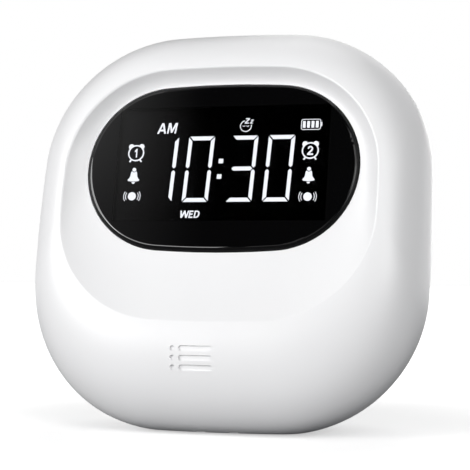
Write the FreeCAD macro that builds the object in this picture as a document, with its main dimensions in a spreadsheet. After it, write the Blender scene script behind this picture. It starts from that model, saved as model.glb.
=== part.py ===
import FreeCAD
import Part
import math
import os
import re
import Sketcher
from FreeCAD import Placement, Rotation, Vector

# Vibrating bedside alarm clock: a pebble-shaped white case that leans back on a flat base,
# a dished front with an oval black lens, and inside it the display, boards, battery, sounder
# and the motor whose off-centre weight shakes the whole case. Millimetres.
#
# Two frames share one origin, the middle of the case where it is widest. The leaning frame
# has X to the right, Y to the back and Z up the leaning face; the upright frame has Z plumb.
# A depth named front or reach is measured from the widest plane towards the viewer.

doc = FreeCAD.newDocument("vibrating_clock")

# Driving dimensions, one block for each group of pieces
DIMENSIONS = {
    # case outline at its widest, at the crease round the dish and at the flat of the back
    "body_half_width": 44.0,
    "body_half_height": 44.6,
    "body_side_radius": 392.0,
    "body_top_radius": 331.0,
    "body_corner_radius": 31.5,
    "crease_half_width": 34.8,
    "crease_half_height": 28.15,
    "crease_side_radius": 132.0,
    "crease_top_radius": 226.0,
    "crease_corner_radius": 23.3,
    "crease_rise": 4.7,
    "crease_reach": 14.4,
    "crease_round": 0.5,
    "back_half_width": 31.5,
    "back_half_height": 32.0,
    "back_side_radius": 200.0,
    "back_top_radius": 200.0,
    "back_corner_radius": 28.0,
    "back_reach": 17.5,
    "back_drop": 2.5,
    "base_drop": 43.2,
    "shell_wall": 2.0,
    # join of the two shells
    "seam_back": 5.0,
    "lip_height": 2.0,
    "lip_thickness": 1.0,
    "lip_gap": 0.15,
    # display lens and the shelf it sits on
    "lens_half_width": 30.27,
    "lens_half_height": 18.75,
    "lens_side_radius": 22.0,
    "lens_top_radius": 196.0,
    "lens_corner_radius": 18.3,
    "lens_rise": 10.8,
    "lens_front": 12.4,
    "lens_thickness": 1.8,
    "lens_proud": 0.7,
    "lens_gap": 0.12,
    "lens_edge_round": 1.1,
    "mask_thickness": 0.3,
    "mask_inset": 0.2,
    "window_half_width": 23.7,
    "window_half_height": 12.9,
    "window_rise": 11.6,
    "window_corner": 0.6,
    "shelf_thickness": 1.2,
    "shelf_margin": 1.0,
    # debossed mark on the lower front
    "mark_depth": 0.35,
    "mark_half_height": 0.56,
    "mark_pitch": 1.94,
    "mark_drop": 30.93,
    "mark_dot_left": 7.1,
    "mark_bar_left": 5.82,
    "mark_bar_right": 1.62,
    # sound slots under the front edge
    "slot_side": 3.7,
    "slot_half_width": 1.15,
    "slot_front": 12.4,
    "slot_length": 1.15,
    # display holder, panel, light guide and contact strips
    "holder_half_width": 28.5,
    "holder_half_height": 17.0,
    "holder_lip": 0.7,
    "panel_half_width": 26.5,
    "panel_half_height": 15.0,
    "panel_thickness": 1.8,
    "panel_gap": 0.1,
    "guide_half_height": 12.6,
    "digit_width": 5.85,
    "digit_height": 14.85,
    "digit_upright_stroke": 0.78,
    "digit_level_stroke": 0.86,
    "digit_gap": 0.22,
    "colon_side": 0.98,
    "digit_thickness": 0.1,
    "digit_pitch": 8.2,
    "colon_to_digit": 4.9,
    "colon_half_spacing": 1.75,
    "digits_left": 0.95,
    "digits_rise": 11.33,
    "strip_width": 1.6,
    "strip_inset": 0.2,
    "strip_length": 48.0,
    # main board
    "board_front": 3.5,
    "board_thickness": 1.6,
    "board_half_width": 31.0,
    "board_top": 34.5,
    "board_bottom": 18.0,
    "board_corner": 8.0,
    "board_boss_radius": 2.5,
    "board_top_screw_side": 18.0,
    "board_top_screw_rise": 31.8,
    "board_low_screw_side": 26.0,
    "board_low_screw_drop": 14.6,
    # small screws, which hold boards, strap and socket board
    "screw_radius": 0.98,
    "screw_length": 5.0,
    "screw_head_radius": 1.9,
    "screw_head_height": 1.1,
    "screw_hole_radius": 1.2,
    "pilot_radius": 1.0,
    "recess_depth": 0.6,
    "recess_width": 0.45,
    "recess_reach": 1.1,
    # case screws
    "case_screw_side": 35.5,
    "case_screw_rise": 20.0,
    "case_low_screw_side": 31.0,
    "case_screw_drop": 24.0,
    "case_boss_radius": 3.2,
    "case_tube_radius": 4.4,
    "case_bore_radius": 2.9,
    "case_seat_thickness": 2.0,
    "case_screw_radius": 1.08,
    "case_screw_length": 10.0,
    "case_screw_head_radius": 2.4,
    "case_screw_head_height": 1.8,
    "case_screw_hole_radius": 1.4,
    "case_pilot_radius": 1.1,
    # parts on the main board
    "chip_size": 10.0,
    "chip_thickness": 1.2,
    "chip_left": 17.0,
    "chip_rise": 12.0,
    "driver_size": 5.0,
    "driver_thickness": 1.4,
    "driver_right": 9.0,
    "driver_rise": 11.0,
    "crystal_length": 8.0,
    "crystal_width": 3.2,
    "crystal_thickness": 1.8,
    "crystal_right": 8.0,
    "crystal_rise": 20.0,
    # battery and its foam
    "battery_half_width": 22.0,
    "battery_height": 19.0,
    "battery_thickness": 6.0,
    "battery_bottom": 16.5,
    "battery_round": 1.6,
    "foam_thickness": 0.8,
    "foam_margin": 2.0,
    # loudspeaker
    "speaker_drop": 27.0,
    "speaker_radius": 8.0,
    "speaker_front": 9.6,
    "speaker_rim": 1.0,
    "speaker_depth": 3.0,
    "speaker_wall": 0.5,
    "speaker_back_radius": 6.2,
    "speaker_magnet_radius": 4.4,
    "speaker_magnet_depth": 1.6,
    "speaker_cone_radius": 6.9,
    "speaker_cone_thickness": 0.3,
    "speaker_dome_radius": 2.1,
    "speaker_ring_gap": 0.15,
    "speaker_ring_wall": 1.2,
    "speaker_ring_depth": 3.2,
    # vibration motor, placed in the upright frame with its shaft along X
    "motor_back": 5.5,
    "motor_drop": 29.5,
    "motor_radius": 6.0,
    "motor_shift": 1.3,
    "motor_length": 19.0,
    "motor_wall": 0.6,
    "motor_nose_radius": 2.2,
    "motor_nose_length": 1.2,
    "motor_cap_thickness": 1.6,
    "terminal_length": 2.4,
    "terminal_width": 1.4,
    "terminal_thickness": 0.4,
    "terminal_side": 3.4,
    "bush_radius": 1.6,
    "shaft_radius": 1.0,
    "shaft_clearance": 0.03,
    "shaft_tail": 0.4,
    "magnet_gap": 0.05,
    "magnet_thickness": 0.8,
    "magnet_length": 12.0,
    "magnet_half_gap": 1.6,
    "armature_radius": 4.2,
    "armature_length": 11.0,
    "armature_slot": 1.0,
    "armature_core": 2.0,
    "weight_radius": 7.5,
    "weight_length": 7.0,
    "weight_hub_radius": 2.6,
    "weight_gap": 2.0,
    "shaft_overhang": 2.0,
    "sleeve_thickness": 1.0,
    "sleeve_length": 12.0,
    "sleeve_gap": 0.02,
    # motor cradle and strap
    "rib_thickness": 2.0,
    "rib_half_spacing": 4.8,
    "rib_above": 7.6,
    "strap_thickness": 0.7,
    "strap_width": 5.0,
    "strap_ear_top": 12.6,
    "strap_screw_rise": 10.1,
    "strap_boss_radius": 2.4,
    "strap_hook_drop": 10.4,
    "hook_rib_thickness": 1.5,
    "hook_rib_height": 2.4,
    "hook_gap": 0.1,
    # button board, tact switches and buttons, placed in the upright frame
    "key_board_rear": 9.2,
    "key_board_thickness": 1.2,
    "key_board_half_width": 26.0,
    "key_board_top": 28.0,
    "key_board_bottom": 10.0,
    "key_board_corner": 2.0,
    "key_screw_side": 23.0,
    "key_screw_rise": 25.0,
    "key_screw_drop": 7.0,
    "key_boss_radius": 2.4,
    "key_spacing": 17.0,
    "key_top_row": 20.0,
    "key_low_row": 9.0,
    "switch_side": 6.0,
    "switch_height": 3.1,
    "switch_bore_radius": 1.85,
    "switch_bore_depth": 2.1,
    "plunger_radius": 1.7,
    "plunger_length": 2.6,
    "plunger_rise": 1.1,
    "key_stem_radius": 2.2,
    "key_flange_radius": 4.6,
    "key_flange_thickness": 1.0,
    "key_flange_gap": 0.2,
    "key_radius": 3.5,
    "key_proud": 0.7,
    "key_gap": 0.25,
    "key_round": 0.45,
    # mode slider
    "slider_drop": 3.0,
    "slider_travel": 4.0,
    "slider_body_length": 11.0,
    "slider_body_width": 4.4,
    "slider_body_height": 3.4,
    "slider_stem": 2.0,
    "slider_stem_depth": 1.4,
    "slider_gap": 0.2,
    "slider_flange_length": 12.4,
    "slider_flange_width": 5.2,
    "slider_grip_length": 4.0,
    "slider_grip_width": 3.2,
    "slider_grip_proud": 0.6,
    "slider_ridge": 0.5,
    "slider_ridge_pitch": 1.5,
    # charging socket and its small board
    "socket_right": 20.0,
    "socket_drop": 26.0,
    "socket_width": 8.94,
    "socket_height": 3.26,
    "socket_length": 7.3,
    "socket_inset": 0.4,
    "socket_wall": 0.3,
    "socket_gap": 0.2,
    "tongue_width": 6.2,
    "tongue_thickness": 0.7,
    "tongue_length": 5.6,
    "socket_back_wall": 1.0,
    "socket_board_half_width": 5.6,
    "socket_board_front": 4.0,
    "socket_board_length": 10.2,
    "socket_board_thickness": 1.0,
    "post_radius": 1.9,
    "post_side": 3.5,
    "post_back": 6.4,
    # rubber pad under the base
    "pad_half_width": 14.0,
    "pad_front": 4.6,
    "pad_back": 6.6,
    "pad_thickness": 1.2,
    "pad_proud": 0.4,
    "pad_corner": 4.0,
    "pad_groove_width": 1.2,
    "pad_groove_depth": 0.25,
    "pad_groove_pitch": 2.6,
    # one length by which every cut runs past the solid it cuts
    "overrun": 1.0,
}
LEAN_ANGLE = 14.8
DIGIT_SLANT = 2.4
ARMATURE_SLOTS = 3
PAD_GROOVES = 4
SHOWN_TIME = "10:30"

# Depths of the case's sections and how far each has moved from the widest outline to the end one,
# as shares; they follow a rounded quarter
front_depth_shares = (0.0, 0.35, 0.62, 0.82, 0.94, 0.98, 1.0)
front_inset_shares = (0.0, 0.075, 0.25, 0.484, 0.721, 0.853, 1.0)
back_depth_shares = (0.35, 0.62, 0.82, 0.94, 0.98, 1.0)
back_inset_shares = (0.06, 0.204, 0.408, 0.636, 0.781, 1.0)
back_drop_shares = (0.36, 0.5, 0.6, 0.75, 0.88, 1.0)
# The dish drops steeply at the crease and flattens towards the lens
dish_outline_shares = (0.0, 0.2, 0.45, 0.72, 1.0)
dish_depth_shares = (0.0, 0.32, 0.64, 0.88, 1.0)

sizes = doc.addObject("Spreadsheet::Sheet", "Sizes")
for row, (name, number) in enumerate(DIMENSIONS.items(), start=1):
    sizes.set(f"A{row}", name)
    sizes.set(f"B{row}", str(number))
    sizes.setAlias(f"B{row}", name)
doc.recompute()


def mm(name):
    """One driving dimension, read from the sheet."""
    return float(sizes.get(name))


def cells(text):
    """A formula of dimension names, with each name pointed at its cell."""
    def point_at(word):
        return "Sizes." + word.group() if word.group() in DIMENSIONS else word.group()

    return re.sub(r"[a-z_]+", point_at, text)


# The pad's middle, where it meets the table, is the origin of the finished clock
pad_middle = (mm("pad_back") - mm("pad_front")) / 2
upright = Placement(Vector(0, -pad_middle, mm("base_drop") + mm("pad_proud")), Rotation())
leaning = upright.multiply(Placement(Vector(), Rotation(Vector(1, 0, 0), -LEAN_ANGLE)))
tilt = Rotation(Vector(1, 0, 0), -LEAN_ANGLE)
far = 3 * mm("body_half_width")
nodes = []


def keep(piece, label, frame):
    """Names a finished sub-part and stands it in its frame; a bound block goes in a holder first."""
    if piece.TypeId in ("Part::Box", "Part::Cylinder"):
        piece = group(label + "_holder", [piece])
    piece.Label = label
    piece.Placement = frame.multiply(piece.Placement)
    nodes.append(piece)


def box(name, x, y, z):
    """Block between two corners, each side given as two formulas, low and high."""
    piece = doc.addObject("Part::Box", name)
    for side, letter, (low, high) in (("Length", "x", x), ("Width", "y", y), ("Height", "z", z)):
        piece.setExpression(side, cells(f"({high}) - ({low})"))
        piece.setExpression(f"Placement.Base.{letter}", cells(low))
    return piece


def around(middle, half):
    """The two ends of a span given by its middle and half its length."""
    return f"({middle}) - ({half})", f"({middle}) + ({half})"


def rod(name, along, radius, ends, across):
    """Cylinder along X, Y or Z between two formulas, at the place that the other two axes give."""
    turns = {"x": Rotation(Vector(0, 1, 0), 90), "y": Rotation(Vector(1, 0, 0), -90), "z": Rotation()}
    piece = doc.addObject("Part::Cylinder", name)
    piece.Placement = Placement(Vector(), turns[along])
    piece.setExpression("Radius", cells(radius))
    piece.setExpression("Height", cells(f"({ends[1]}) - ({ends[0]})"))
    others = [letter for letter in "xyz" if letter != along]
    for letter, formula in zip([along] + others, (ends[0],) + tuple(across)):
        piece.setExpression(f"Placement.Base.{letter}", cells(formula))
    return piece


def fuse(name, pieces):
    joined = doc.addObject("Part::MultiFuse", name)
    joined.Shapes = pieces
    return joined


def cut(name, base, tool):
    left = doc.addObject("Part::Cut", name)
    left.Base = base
    left.Tool = tool
    return left


def group(name, pieces):
    """Like solids that share one node."""
    together = doc.addObject("Part::Compound", name)
    together.Links = pieces
    return together


def origin_plane(body, role):
    return next(plane for plane in body.Origin.OriginFeatures if plane.Role == role)


def bind(sketch, label, constraint, formula):
    """Adds a named constraint and ties it to its formula."""
    index = sketch.addConstraint(constraint)
    sketch.renameConstraint(index, label)
    sketch.setExpression(f"Constraints.{label}", cells(formula))


def rectangle_sketch(body, name, plane, width, height, offsets):
    """Rectangle with one corner at the sketch's origin, which the offsets place on the plane."""
    sketch = body.newObject("Sketcher::SketchObject", name)
    sketch.AttachmentSupport = [(origin_plane(body, plane), "")]
    sketch.MapMode = "FlatFace"
    for letter, formula in zip("xyz", offsets):
        sketch.setExpression(f"AttachmentOffset.Base.{letter}", cells(formula))
    corners = [Vector(0, 0, 0), Vector(1, 0, 0), Vector(1, 1, 0), Vector(0, 1, 0)]
    for here, there in zip(corners, corners[1:] + corners[:1]):
        sketch.addGeometry(Part.LineSegment(here, there), False)
    for side in range(4):
        sketch.addConstraint(Sketcher.Constraint("Coincident", side, 2, (side + 1) % 4, 1))
        sketch.addConstraint(Sketcher.Constraint("Vertical" if side % 2 else "Horizontal", side))
    sketch.addConstraint(Sketcher.Constraint("Coincident", 0, 1, -1, 1))
    bind(sketch, "width", Sketcher.Constraint("DistanceX", 0, 1, 0, 2, 1.0), width)
    bind(sketch, "height", Sketcher.Constraint("DistanceY", 1, 1, 1, 2, 1.0), height)
    return sketch


def pad(body, name, sketch, length):
    feature = body.newObject("PartDesign::Pad", name)
    feature.Profile = sketch
    feature.setExpression("Length", cells(length))
    return feature


def parallel_edges(shape, direction):
    """Names of the straight edges that run along a direction."""
    names = []
    for index, edge in enumerate(shape.Edges, start=1):
        if edge.Curve.TypeId == "Part::GeomLine" and abs(edge.Curve.Direction.dot(direction)) > 0.99:
            names.append(f"Edge{index}")
    return names


def round_edges(body, name, base, edges, radius):
    feature = body.newObject("PartDesign::Fillet", name)
    feature.Base = (base, edges)
    feature.setExpression("Radius", cells(radius))
    return feature


def plate(name, x, y, z, corner, across="y"):
    """Flat piece with rounded corners: a sketched rectangle, padded across its thickness."""
    body = doc.addObject("PartDesign::Body", name)
    if across == "y":
        low, high, thickness = x[0], z[0], y
        wide, tall, normal = x, z, Vector(0, 1, 0)
        sketch = rectangle_sketch(body, name + "_outline", "XZ_Plane", f"({x[1]}) - ({x[0]})",
                                  f"({z[1]}) - ({z[0]})", (low, high, f"-({thickness[1]})"))
    else:
        normal = Vector(0, 0, 1)
        thickness = z
        sketch = rectangle_sketch(body, name + "_outline", "XY_Plane", f"({x[1]}) - ({x[0]})",
                                  f"({y[1]}) - ({y[0]})", (x[0], y[0], thickness[0]))
    block = pad(body, name + "_thickness", sketch, f"({thickness[1]}) - ({thickness[0]})")
    doc.recompute()
    round_edges(body, name + "_corners", block, parallel_edges(block.Shape, normal), corner)
    return body


def turned(name, profile):
    """Round piece about its own Z axis, from corners given as formulas of radius and height."""
    body = doc.addObject("PartDesign::Body", name)
    sketch = body.newObject("Sketcher::SketchObject", name + "_profile")
    sketch.AttachmentSupport = [(origin_plane(body, "XZ_Plane"), "")]
    sketch.MapMode = "FlatFace"
    count = len(profile)
    turns = [math.tau * index / count for index in range(count)]
    corners = [Vector(2 + math.cos(turn), 2 + math.sin(turn), 0) for turn in turns]
    for here, there in zip(corners, corners[1:] + corners[:1]):
        sketch.addGeometry(Part.LineSegment(here, there), False)
    for index in range(count):
        sketch.addConstraint(Sketcher.Constraint("Coincident", index, 2, (index + 1) % count, 1))
    for index, (radius, height) in enumerate(profile):
        if radius == "0":
            sketch.addConstraint(Sketcher.Constraint("PointOnObject", index, 1, -2))
        else:
            bind(sketch, f"radius_{index}", Sketcher.Constraint("DistanceX", -1, 1, index, 1, 1.0), radius)
        if height == "0":
            sketch.addConstraint(Sketcher.Constraint("PointOnObject", index, 1, -1))
        else:
            bind(sketch, f"height_{index}", Sketcher.Constraint("DistanceY", -1, 1, index, 1, 1.0), height)
    spin = body.newObject("PartDesign::Revolution", name + "_turned")
    spin.Profile = sketch
    spin.ReferenceAxis = (sketch, ["V_Axis"])
    return body


# Lofted case: outlines made of eight arcs, each a share of the way between two named ones
BODY = ("body_half_width", "body_half_height", "body_side_radius", "body_top_radius", "body_corner_radius")
CREASE = ("crease_half_width", "crease_half_height", "crease_side_radius", "crease_top_radius",
          "crease_corner_radius")
BACK = ("back_half_width", "back_half_height", "back_side_radius", "back_top_radius", "back_corner_radius")
LENS = ("lens_half_width", "lens_half_height", "lens_side_radius", "lens_top_radius", "lens_corner_radius")


def outline(start, end=None, share=0.0, inset=0.0):
    """Half width, half height and three radii of an outline between two, drawn in by an inset."""
    end = end or start
    return [mm(a) + share * (mm(b) - mm(a)) - inset for a, b in zip(start, end)]


def rounded_wire(half_width, half_height, side_radius, top_radius, corner_radius):
    """Closed wire in the XZ plane: bowed sides and ends joined by tangent corner arcs."""
    side_centre = Vector(half_width - side_radius, 0, 0)
    top_centre = Vector(0, 0, half_height - top_radius)
    between = top_centre - side_centre
    span = between.Length
    to_side = side_radius - corner_radius
    to_top = top_radius - corner_radius
    along = (to_side ** 2 - to_top ** 2 + span ** 2) / (2 * span)
    off = math.sqrt(to_side ** 2 - along ** 2)
    ahead = between.normalize()
    foot = side_centre + ahead * along
    aside = Vector(ahead.z, 0, -ahead.x) * off
    corner = max(foot + aside, foot - aside, key=lambda point: point.x + point.z)
    side_end = side_centre + (corner - side_centre).normalize() * side_radius
    top_end = top_centre + (corner - top_centre).normalize() * top_radius
    corner_middle = corner + ((side_end - corner) + (top_end - corner)).normalize() * corner_radius
    side_middle = Vector(half_width, 0, 0)
    top_middle = Vector(0, 0, half_height)

    def flip(point, x_sign, z_sign):
        return Vector(point.x * x_sign, 0, point.z * z_sign)

    round_trip = [flip(side_end, 1, -1), side_middle, side_end, corner_middle, top_end, top_middle]
    for x_sign, z_sign in ((-1, 1), (-1, -1)):
        if z_sign > 0:
            points = [top_end, corner_middle, side_end, side_middle]
        else:
            points = [side_end, corner_middle, top_end, top_middle]
        round_trip += [flip(point, x_sign, z_sign) for point in points]
    round_trip += [flip(point, 1, -1) for point in (top_end, corner_middle)]
    round_trip.append(round_trip[0])
    arcs = [Part.Arc(*round_trip[i:i + 3]).toShape() for i in range(0, len(round_trip) - 2, 2)]
    return Part.Wire(arcs)


def section(sizes_of_outline, depth, rise):
    """One leaning outline in the upright frame: depth is towards the viewer, square to its plane."""
    wire = rounded_wire(*sizes_of_outline)
    wire.Placement = Placement(Vector(), tilt).multiply(Placement(Vector(0, -depth, rise), Rotation()))
    return wire


def front_sections(inset=0.0):
    reach = mm("crease_reach") - inset
    return [section(outline(BODY, CREASE, share, inset), reach * depth, mm("crease_rise") * share)
            for depth, share in zip(front_depth_shares, front_inset_shares)]


def back_sections(inset=0.0):
    reach = mm("back_reach") - inset
    wires = []
    for depth, share, drop in zip(back_depth_shares, back_inset_shares, back_drop_shares):
        wire = rounded_wire(*outline(BODY, BACK, share, inset))
        turn = Rotation(Vector(1, 0, 0), -LEAN_ANGLE * (1 - depth))
        wire.Placement = Placement(Vector(0, reach * depth, -mm("back_drop") * drop), turn)
        wires.append(wire)
    return wires


def space_above(height):
    """Large block that fills the space above a height in the upright frame."""
    block = Part.makeBox(2 * far, 2 * far, 2 * far)
    block.translate(Vector(-far, -far, height))
    return block


def case_solid(inset=0.0):
    """The whole pebble, drawn in by an inset, with its base cut level."""
    sections = list(reversed(front_sections(inset))) + back_sections(inset)
    pebble = Part.makeLoft(sections, True, False)
    return pebble.common(space_above(-mm("base_drop") + inset))


def leaning_slab(front, back):
    """Wide block between two depths, front and back given as Y in the leaning frame."""
    block = Part.makeBox(2 * far, back - front, 2 * far)
    block.translate(Vector(-far, front, -far))
    block.Placement = Placement(Vector(), tilt).multiply(block.Placement)
    return block


def dish_solid(grow=0.0):
    """The hollow in front, from the crease down to the lens; grown, it is the dish's own wall."""
    lens = [number + mm("lens_gap") + grow for number in outline(LENS)]
    crease = outline(CREASE, inset=-grow)
    rise_span = mm("lens_rise") - mm("crease_rise")
    floor = mm("lens_front") - mm("lens_proud") - grow
    sections = []
    for share, sunk in zip(dish_outline_shares, dish_depth_shares):
        between = [a + share * (b - a) for a, b in zip(crease, lens)]
        depth = mm("crease_reach") + sunk * (floor - mm("crease_reach"))
        sections.append(section(between, depth, mm("crease_rise") + share * rise_span))
    return Part.makeLoft(sections, True, False)


def lens_prism(half_size_gain, front, back):
    """Straight block of the lens's outline between two depths, in the upright frame."""
    wire = section([number + half_size_gain for number in outline(LENS)], back, mm("lens_rise"))
    normal = tilt.multVec(Vector(0, -1, 0))
    return Part.Face(wire).extrude(normal * (front - back))


def shape_piece(name, shape):
    """A document object that holds a lofted or otherwise computed shape."""
    piece = doc.addObject("Part::Feature", name)
    piece.Shape = shape
    return piece


def made(piece):
    """The finished shape of an object that carries formulas."""
    doc.recompute()
    return piece.Shape.copy()


def in_upright(piece, frame_turn):
    """A piece's shape, with its leaning frame turned into the upright one."""
    shape = made(piece)
    if frame_turn == "leaning":
        shape.Placement = Placement(Vector(), tilt).multiply(shape.Placement)
    return shape


def sides(formula):
    """A place and its mirror image."""
    return formula, f"-({formula})"


# Places that several pieces share, as formulas
LENS_BACK = "lens_front - lens_thickness"
SHELF_FRONT = "lens_front - lens_thickness - mask_thickness"
SHELF_BACK = "lens_front - lens_thickness - mask_thickness - shelf_thickness"
PANEL_FRONT = "lens_front - lens_thickness - mask_thickness - shelf_thickness - holder_lip"
PANEL_BACK = "lens_front - lens_thickness - mask_thickness - shelf_thickness - holder_lip - panel_thickness"
BOARD_BACK = "board_front - board_thickness"
WALL_INSIDE = "back_reach - shell_wall"
FLOOR = "-base_drop + shell_wall"
BOARD_SCREWS = [(side, "board_top_screw_rise") for side in sides("board_top_screw_side")]
BOARD_SCREWS += [(side, "-board_low_screw_drop") for side in sides("board_low_screw_side")]
CASE_SCREWS = [(side, "case_screw_rise") for side in sides("case_screw_side")]
CASE_SCREWS += [(side, "-case_screw_drop") for side in sides("case_low_screw_side")]
# The motor stands about midway between the side wall and the socket's board
MOTOR_AXIS = ("motor_back", "-motor_drop")
MOTOR_MIDDLE = ("motor_shift + 0.5 * (socket_right - socket_board_half_width"
                " - body_half_width + shell_wall)")
CAN_TAIL = f"{MOTOR_MIDDLE} - 0.5 * motor_length"
MOTOR_NOSE = f"{CAN_TAIL} + motor_length + motor_nose_length"
MOTOR_TAIL = f"{CAN_TAIL} - motor_cap_thickness"
KEY_SCREWS = [(side, rise) for rise in ("key_screw_rise", "-key_screw_drop")
              for side in sides("key_screw_side")]
KEYS = {
    "alarm_1": (1, "key_top_row"),
    "time_set": (0, "key_top_row"),
    "alarm_2": (-1, "key_top_row"),
    "up": (1, "key_low_row"),
    "snooze": (0, "key_low_row"),
    "down": (-1, "key_low_row"),
}

# Solids of the case that both shells are cut from
case_outside = case_solid()
dish = dish_solid()
case_hollow = case_solid(mm("shell_wall")).cut(dish_solid(mm("shell_wall")))
# Bosses, ribs and posts end halfway into the wall that they grow from
half_wall = mm("shell_wall") / 2
root_limit = case_solid(half_wall).cut(dish_solid(half_wall))


def round_crease(shape):
    """Rounds the edge where the dish meets the outer surface."""
    back = tilt.inverted()
    edges = []
    for edge in shape.Edges:
        places = [edge.FirstParameter, (edge.FirstParameter + edge.LastParameter) / 2, edge.LastParameter]
        reaches = [-back.multVec(edge.valueAt(place)).y for place in places]
        if all(abs(reach - mm("crease_reach")) < mm("crease_round") / 100 for reach in reaches):
            edges.append(edge)
    return shape.makeFillet(mm("crease_round"), edges)


# Front shell: white moulded case half with the dish, the lens shelf, the sounder's ring and the bosses
front_outside = round_crease(case_outside.cut(dish)).common(leaning_slab(-far, mm("seam_back")))
front_bosses = []
for number, (side, rise) in enumerate(BOARD_SCREWS):
    front_bosses.append(rod(f"board_boss_{number}", "y", "board_boss_radius",
                            ("-crease_reach", "-board_front"), (side, rise)))
for number, (side, rise) in enumerate(CASE_SCREWS):
    front_bosses.append(rod(f"case_boss_{number}", "y", "case_boss_radius",
                            ("-crease_reach", "seam_back"), (side, rise)))
ring_outer = rod("speaker_ring_outer", "y", "speaker_radius + speaker_ring_gap + speaker_ring_wall",
                 ("-crease_reach", "-speaker_front + speaker_ring_depth"), ("0", "-speaker_drop"))
ring_inner = rod("speaker_ring_inner", "y", "speaker_radius + speaker_ring_gap",
                 ("-speaker_front", "-speaker_front + speaker_ring_depth + overrun"), ("0", "-speaker_drop"))
front_holes = [ring_inner]
for number, (side, rise) in enumerate(BOARD_SCREWS):
    front_holes.append(rod(f"board_pilot_{number}", "y", "pilot_radius",
                           ("-board_front - screw_length", "-board_front + overrun"), (side, rise)))
for number, (side, rise) in enumerate(CASE_SCREWS):
    front_holes.append(rod(f"case_pilot_{number}", "y", "case_pilot_radius",
                           ("seam_back + case_seat_thickness - case_screw_length - overrun",
                            "seam_back + overrun"), (side, rise)))
shelf_hole = box("shelf_hole", around("0", "window_half_width + shelf_margin"),
                 (f"-({SHELF_FRONT}) - overrun", f"-({SHELF_BACK}) + overrun"),
                 around("window_rise", "window_half_height + shelf_margin"))
sound_chamber = rod("sound_chamber", "y", "speaker_radius - speaker_rim",
                    ("-crease_reach", "-speaker_front + overrun"), ("0", "-speaker_drop"))
sound_way = box("sound_way", around("0", "slot_side + slot_half_width"), ("-crease_reach", "-speaker_front"),
                ("-speaker_drop - speaker_radius - speaker_ring_wall - overrun", "-speaker_drop"))
mark_tools = []
for line in (-1, 0, 1):
    height = f"-mark_drop + {line} * mark_pitch"
    mark_tools.append(rod(f"mark_dot_{line + 1}", "y", "mark_half_height",
                          ("-crease_reach - overrun", "-seam_back"), ("-mark_dot_left", height)))
    mark_tools.append(box(f"mark_bar_{line + 1}",
                          ("-mark_bar_left + mark_half_height", "mark_bar_right - mark_half_height"),
                          ("-crease_reach - overrun", "-seam_back"), around(height, "mark_half_height")))
    for end, place in (("left", "-mark_bar_left + mark_half_height"),
                       ("right", "mark_bar_right - mark_half_height")):
        mark_tools.append(rod(f"mark_end_{end}_{line + 1}", "y", "mark_half_height",
                              ("-crease_reach - overrun", "-seam_back"), (place, height)))
mark = in_upright(fuse("mark_prisms", mark_tools), "leaning").cut(case_solid(mm("mark_depth")))
sound_slots = in_upright(fuse("sound_slots", [
    box(f"sound_slot_{number}", around(side, "slot_half_width"),
        ("-slot_front", "-slot_front + slot_length"), ("-base_drop - overrun", f"{FLOOR} + 2 * shell_wall"))
    for number, side in enumerate(sides("slot_side"))]), "upright")
bosses = in_upright(fuse("front_bosses", front_bosses + [ring_outer]), "leaning").common(root_limit)
front = front_outside.cut(case_hollow).fuse(bosses)
front = front.cut(lens_prism(mm("lens_gap"), mm("lens_front") + mm("overrun"),
                             mm("lens_front") - mm("lens_thickness") - mm("mask_thickness")))
front = front.cut(in_upright(fuse("front_holes", front_holes + [shelf_hole]), "leaning"))
chamber = in_upright(fuse("sound_path", [sound_chamber, sound_way]), "leaning").common(case_hollow)
front = front.cut(mark).cut(sound_slots).cut(chamber)
keep(shape_piece("front_shell_shape", front.removeSplitter()), "front_shell", upright)

# Back cover: the other case half, with the lip, screw tubes, motor cradle, posts and holes for the controls
back_outside = case_outside.common(leaning_slab(mm("seam_back"), far))
lip_outer = case_solid(mm("shell_wall") + mm("lip_gap"))
lip_inner = case_solid(mm("shell_wall") + mm("lip_gap") + mm("lip_thickness"))
lip_notches = [rod(f"lip_notch_{number}", "y", "case_boss_radius + lip_gap",
                   ("seam_back - lip_height - overrun", "seam_back"), place)
               for number, place in enumerate(CASE_SCREWS)]
lip_root = case_outside.common(leaning_slab(mm("seam_back"), mm("seam_back") + mm("shell_wall")))
lip = lip_outer.common(leaning_slab(mm("seam_back") - mm("lip_height"), mm("seam_back")))
lip = lip.fuse(lip_root).cut(lip_inner).cut(in_upright(fuse("lip_notches", lip_notches), "leaning"))
tubes = [rod(f"case_tube_{number}", "y", "case_tube_radius", ("seam_back", "2 * back_reach"), (side, rise))
         for number, (side, rise) in enumerate(CASE_SCREWS)]
counterbores = []
for number, (side, rise) in enumerate(CASE_SCREWS):
    counterbores.append(rod(f"case_counterbore_{number}", "y", "case_bore_radius",
                            ("seam_back + case_seat_thickness", "2 * back_reach + overrun"), (side, rise)))
    counterbores.append(rod(f"case_hole_{number}", "y", "case_screw_hole_radius",
                            ("seam_back - overrun", "seam_back + case_seat_thickness + overrun"),
                            (side, rise)))
rib_reach = "motor_radius + sleeve_thickness"
strap_boss = (MOTOR_MIDDLE, "-motor_drop + strap_screw_rise")
posts = [(f"socket_right + {sign} * post_side", "post_back") for sign in (-1, 1)]
cradle = [box(f"cradle_rib_{number}", around(f"{MOTOR_MIDDLE} + {sign} * rib_half_spacing",
                                             "0.5 * rib_thickness"),
              ("motor_back", "back_reach"), ("-base_drop", "-motor_drop + rib_above"))
          for number, sign in enumerate((-1, 1))]
hook_ear = "motor_back - strap_thickness"
hook_width = around(MOTOR_MIDDLE, "0.5 * strap_width + hook_rib_thickness")
cradle.append(box("hook_rib_front", hook_width, (f"{hook_ear} - hook_gap - hook_rib_thickness",
                                                 f"{hook_ear} - hook_gap"),
                  ("-base_drop", f"{FLOOR} + hook_rib_height")))
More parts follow.
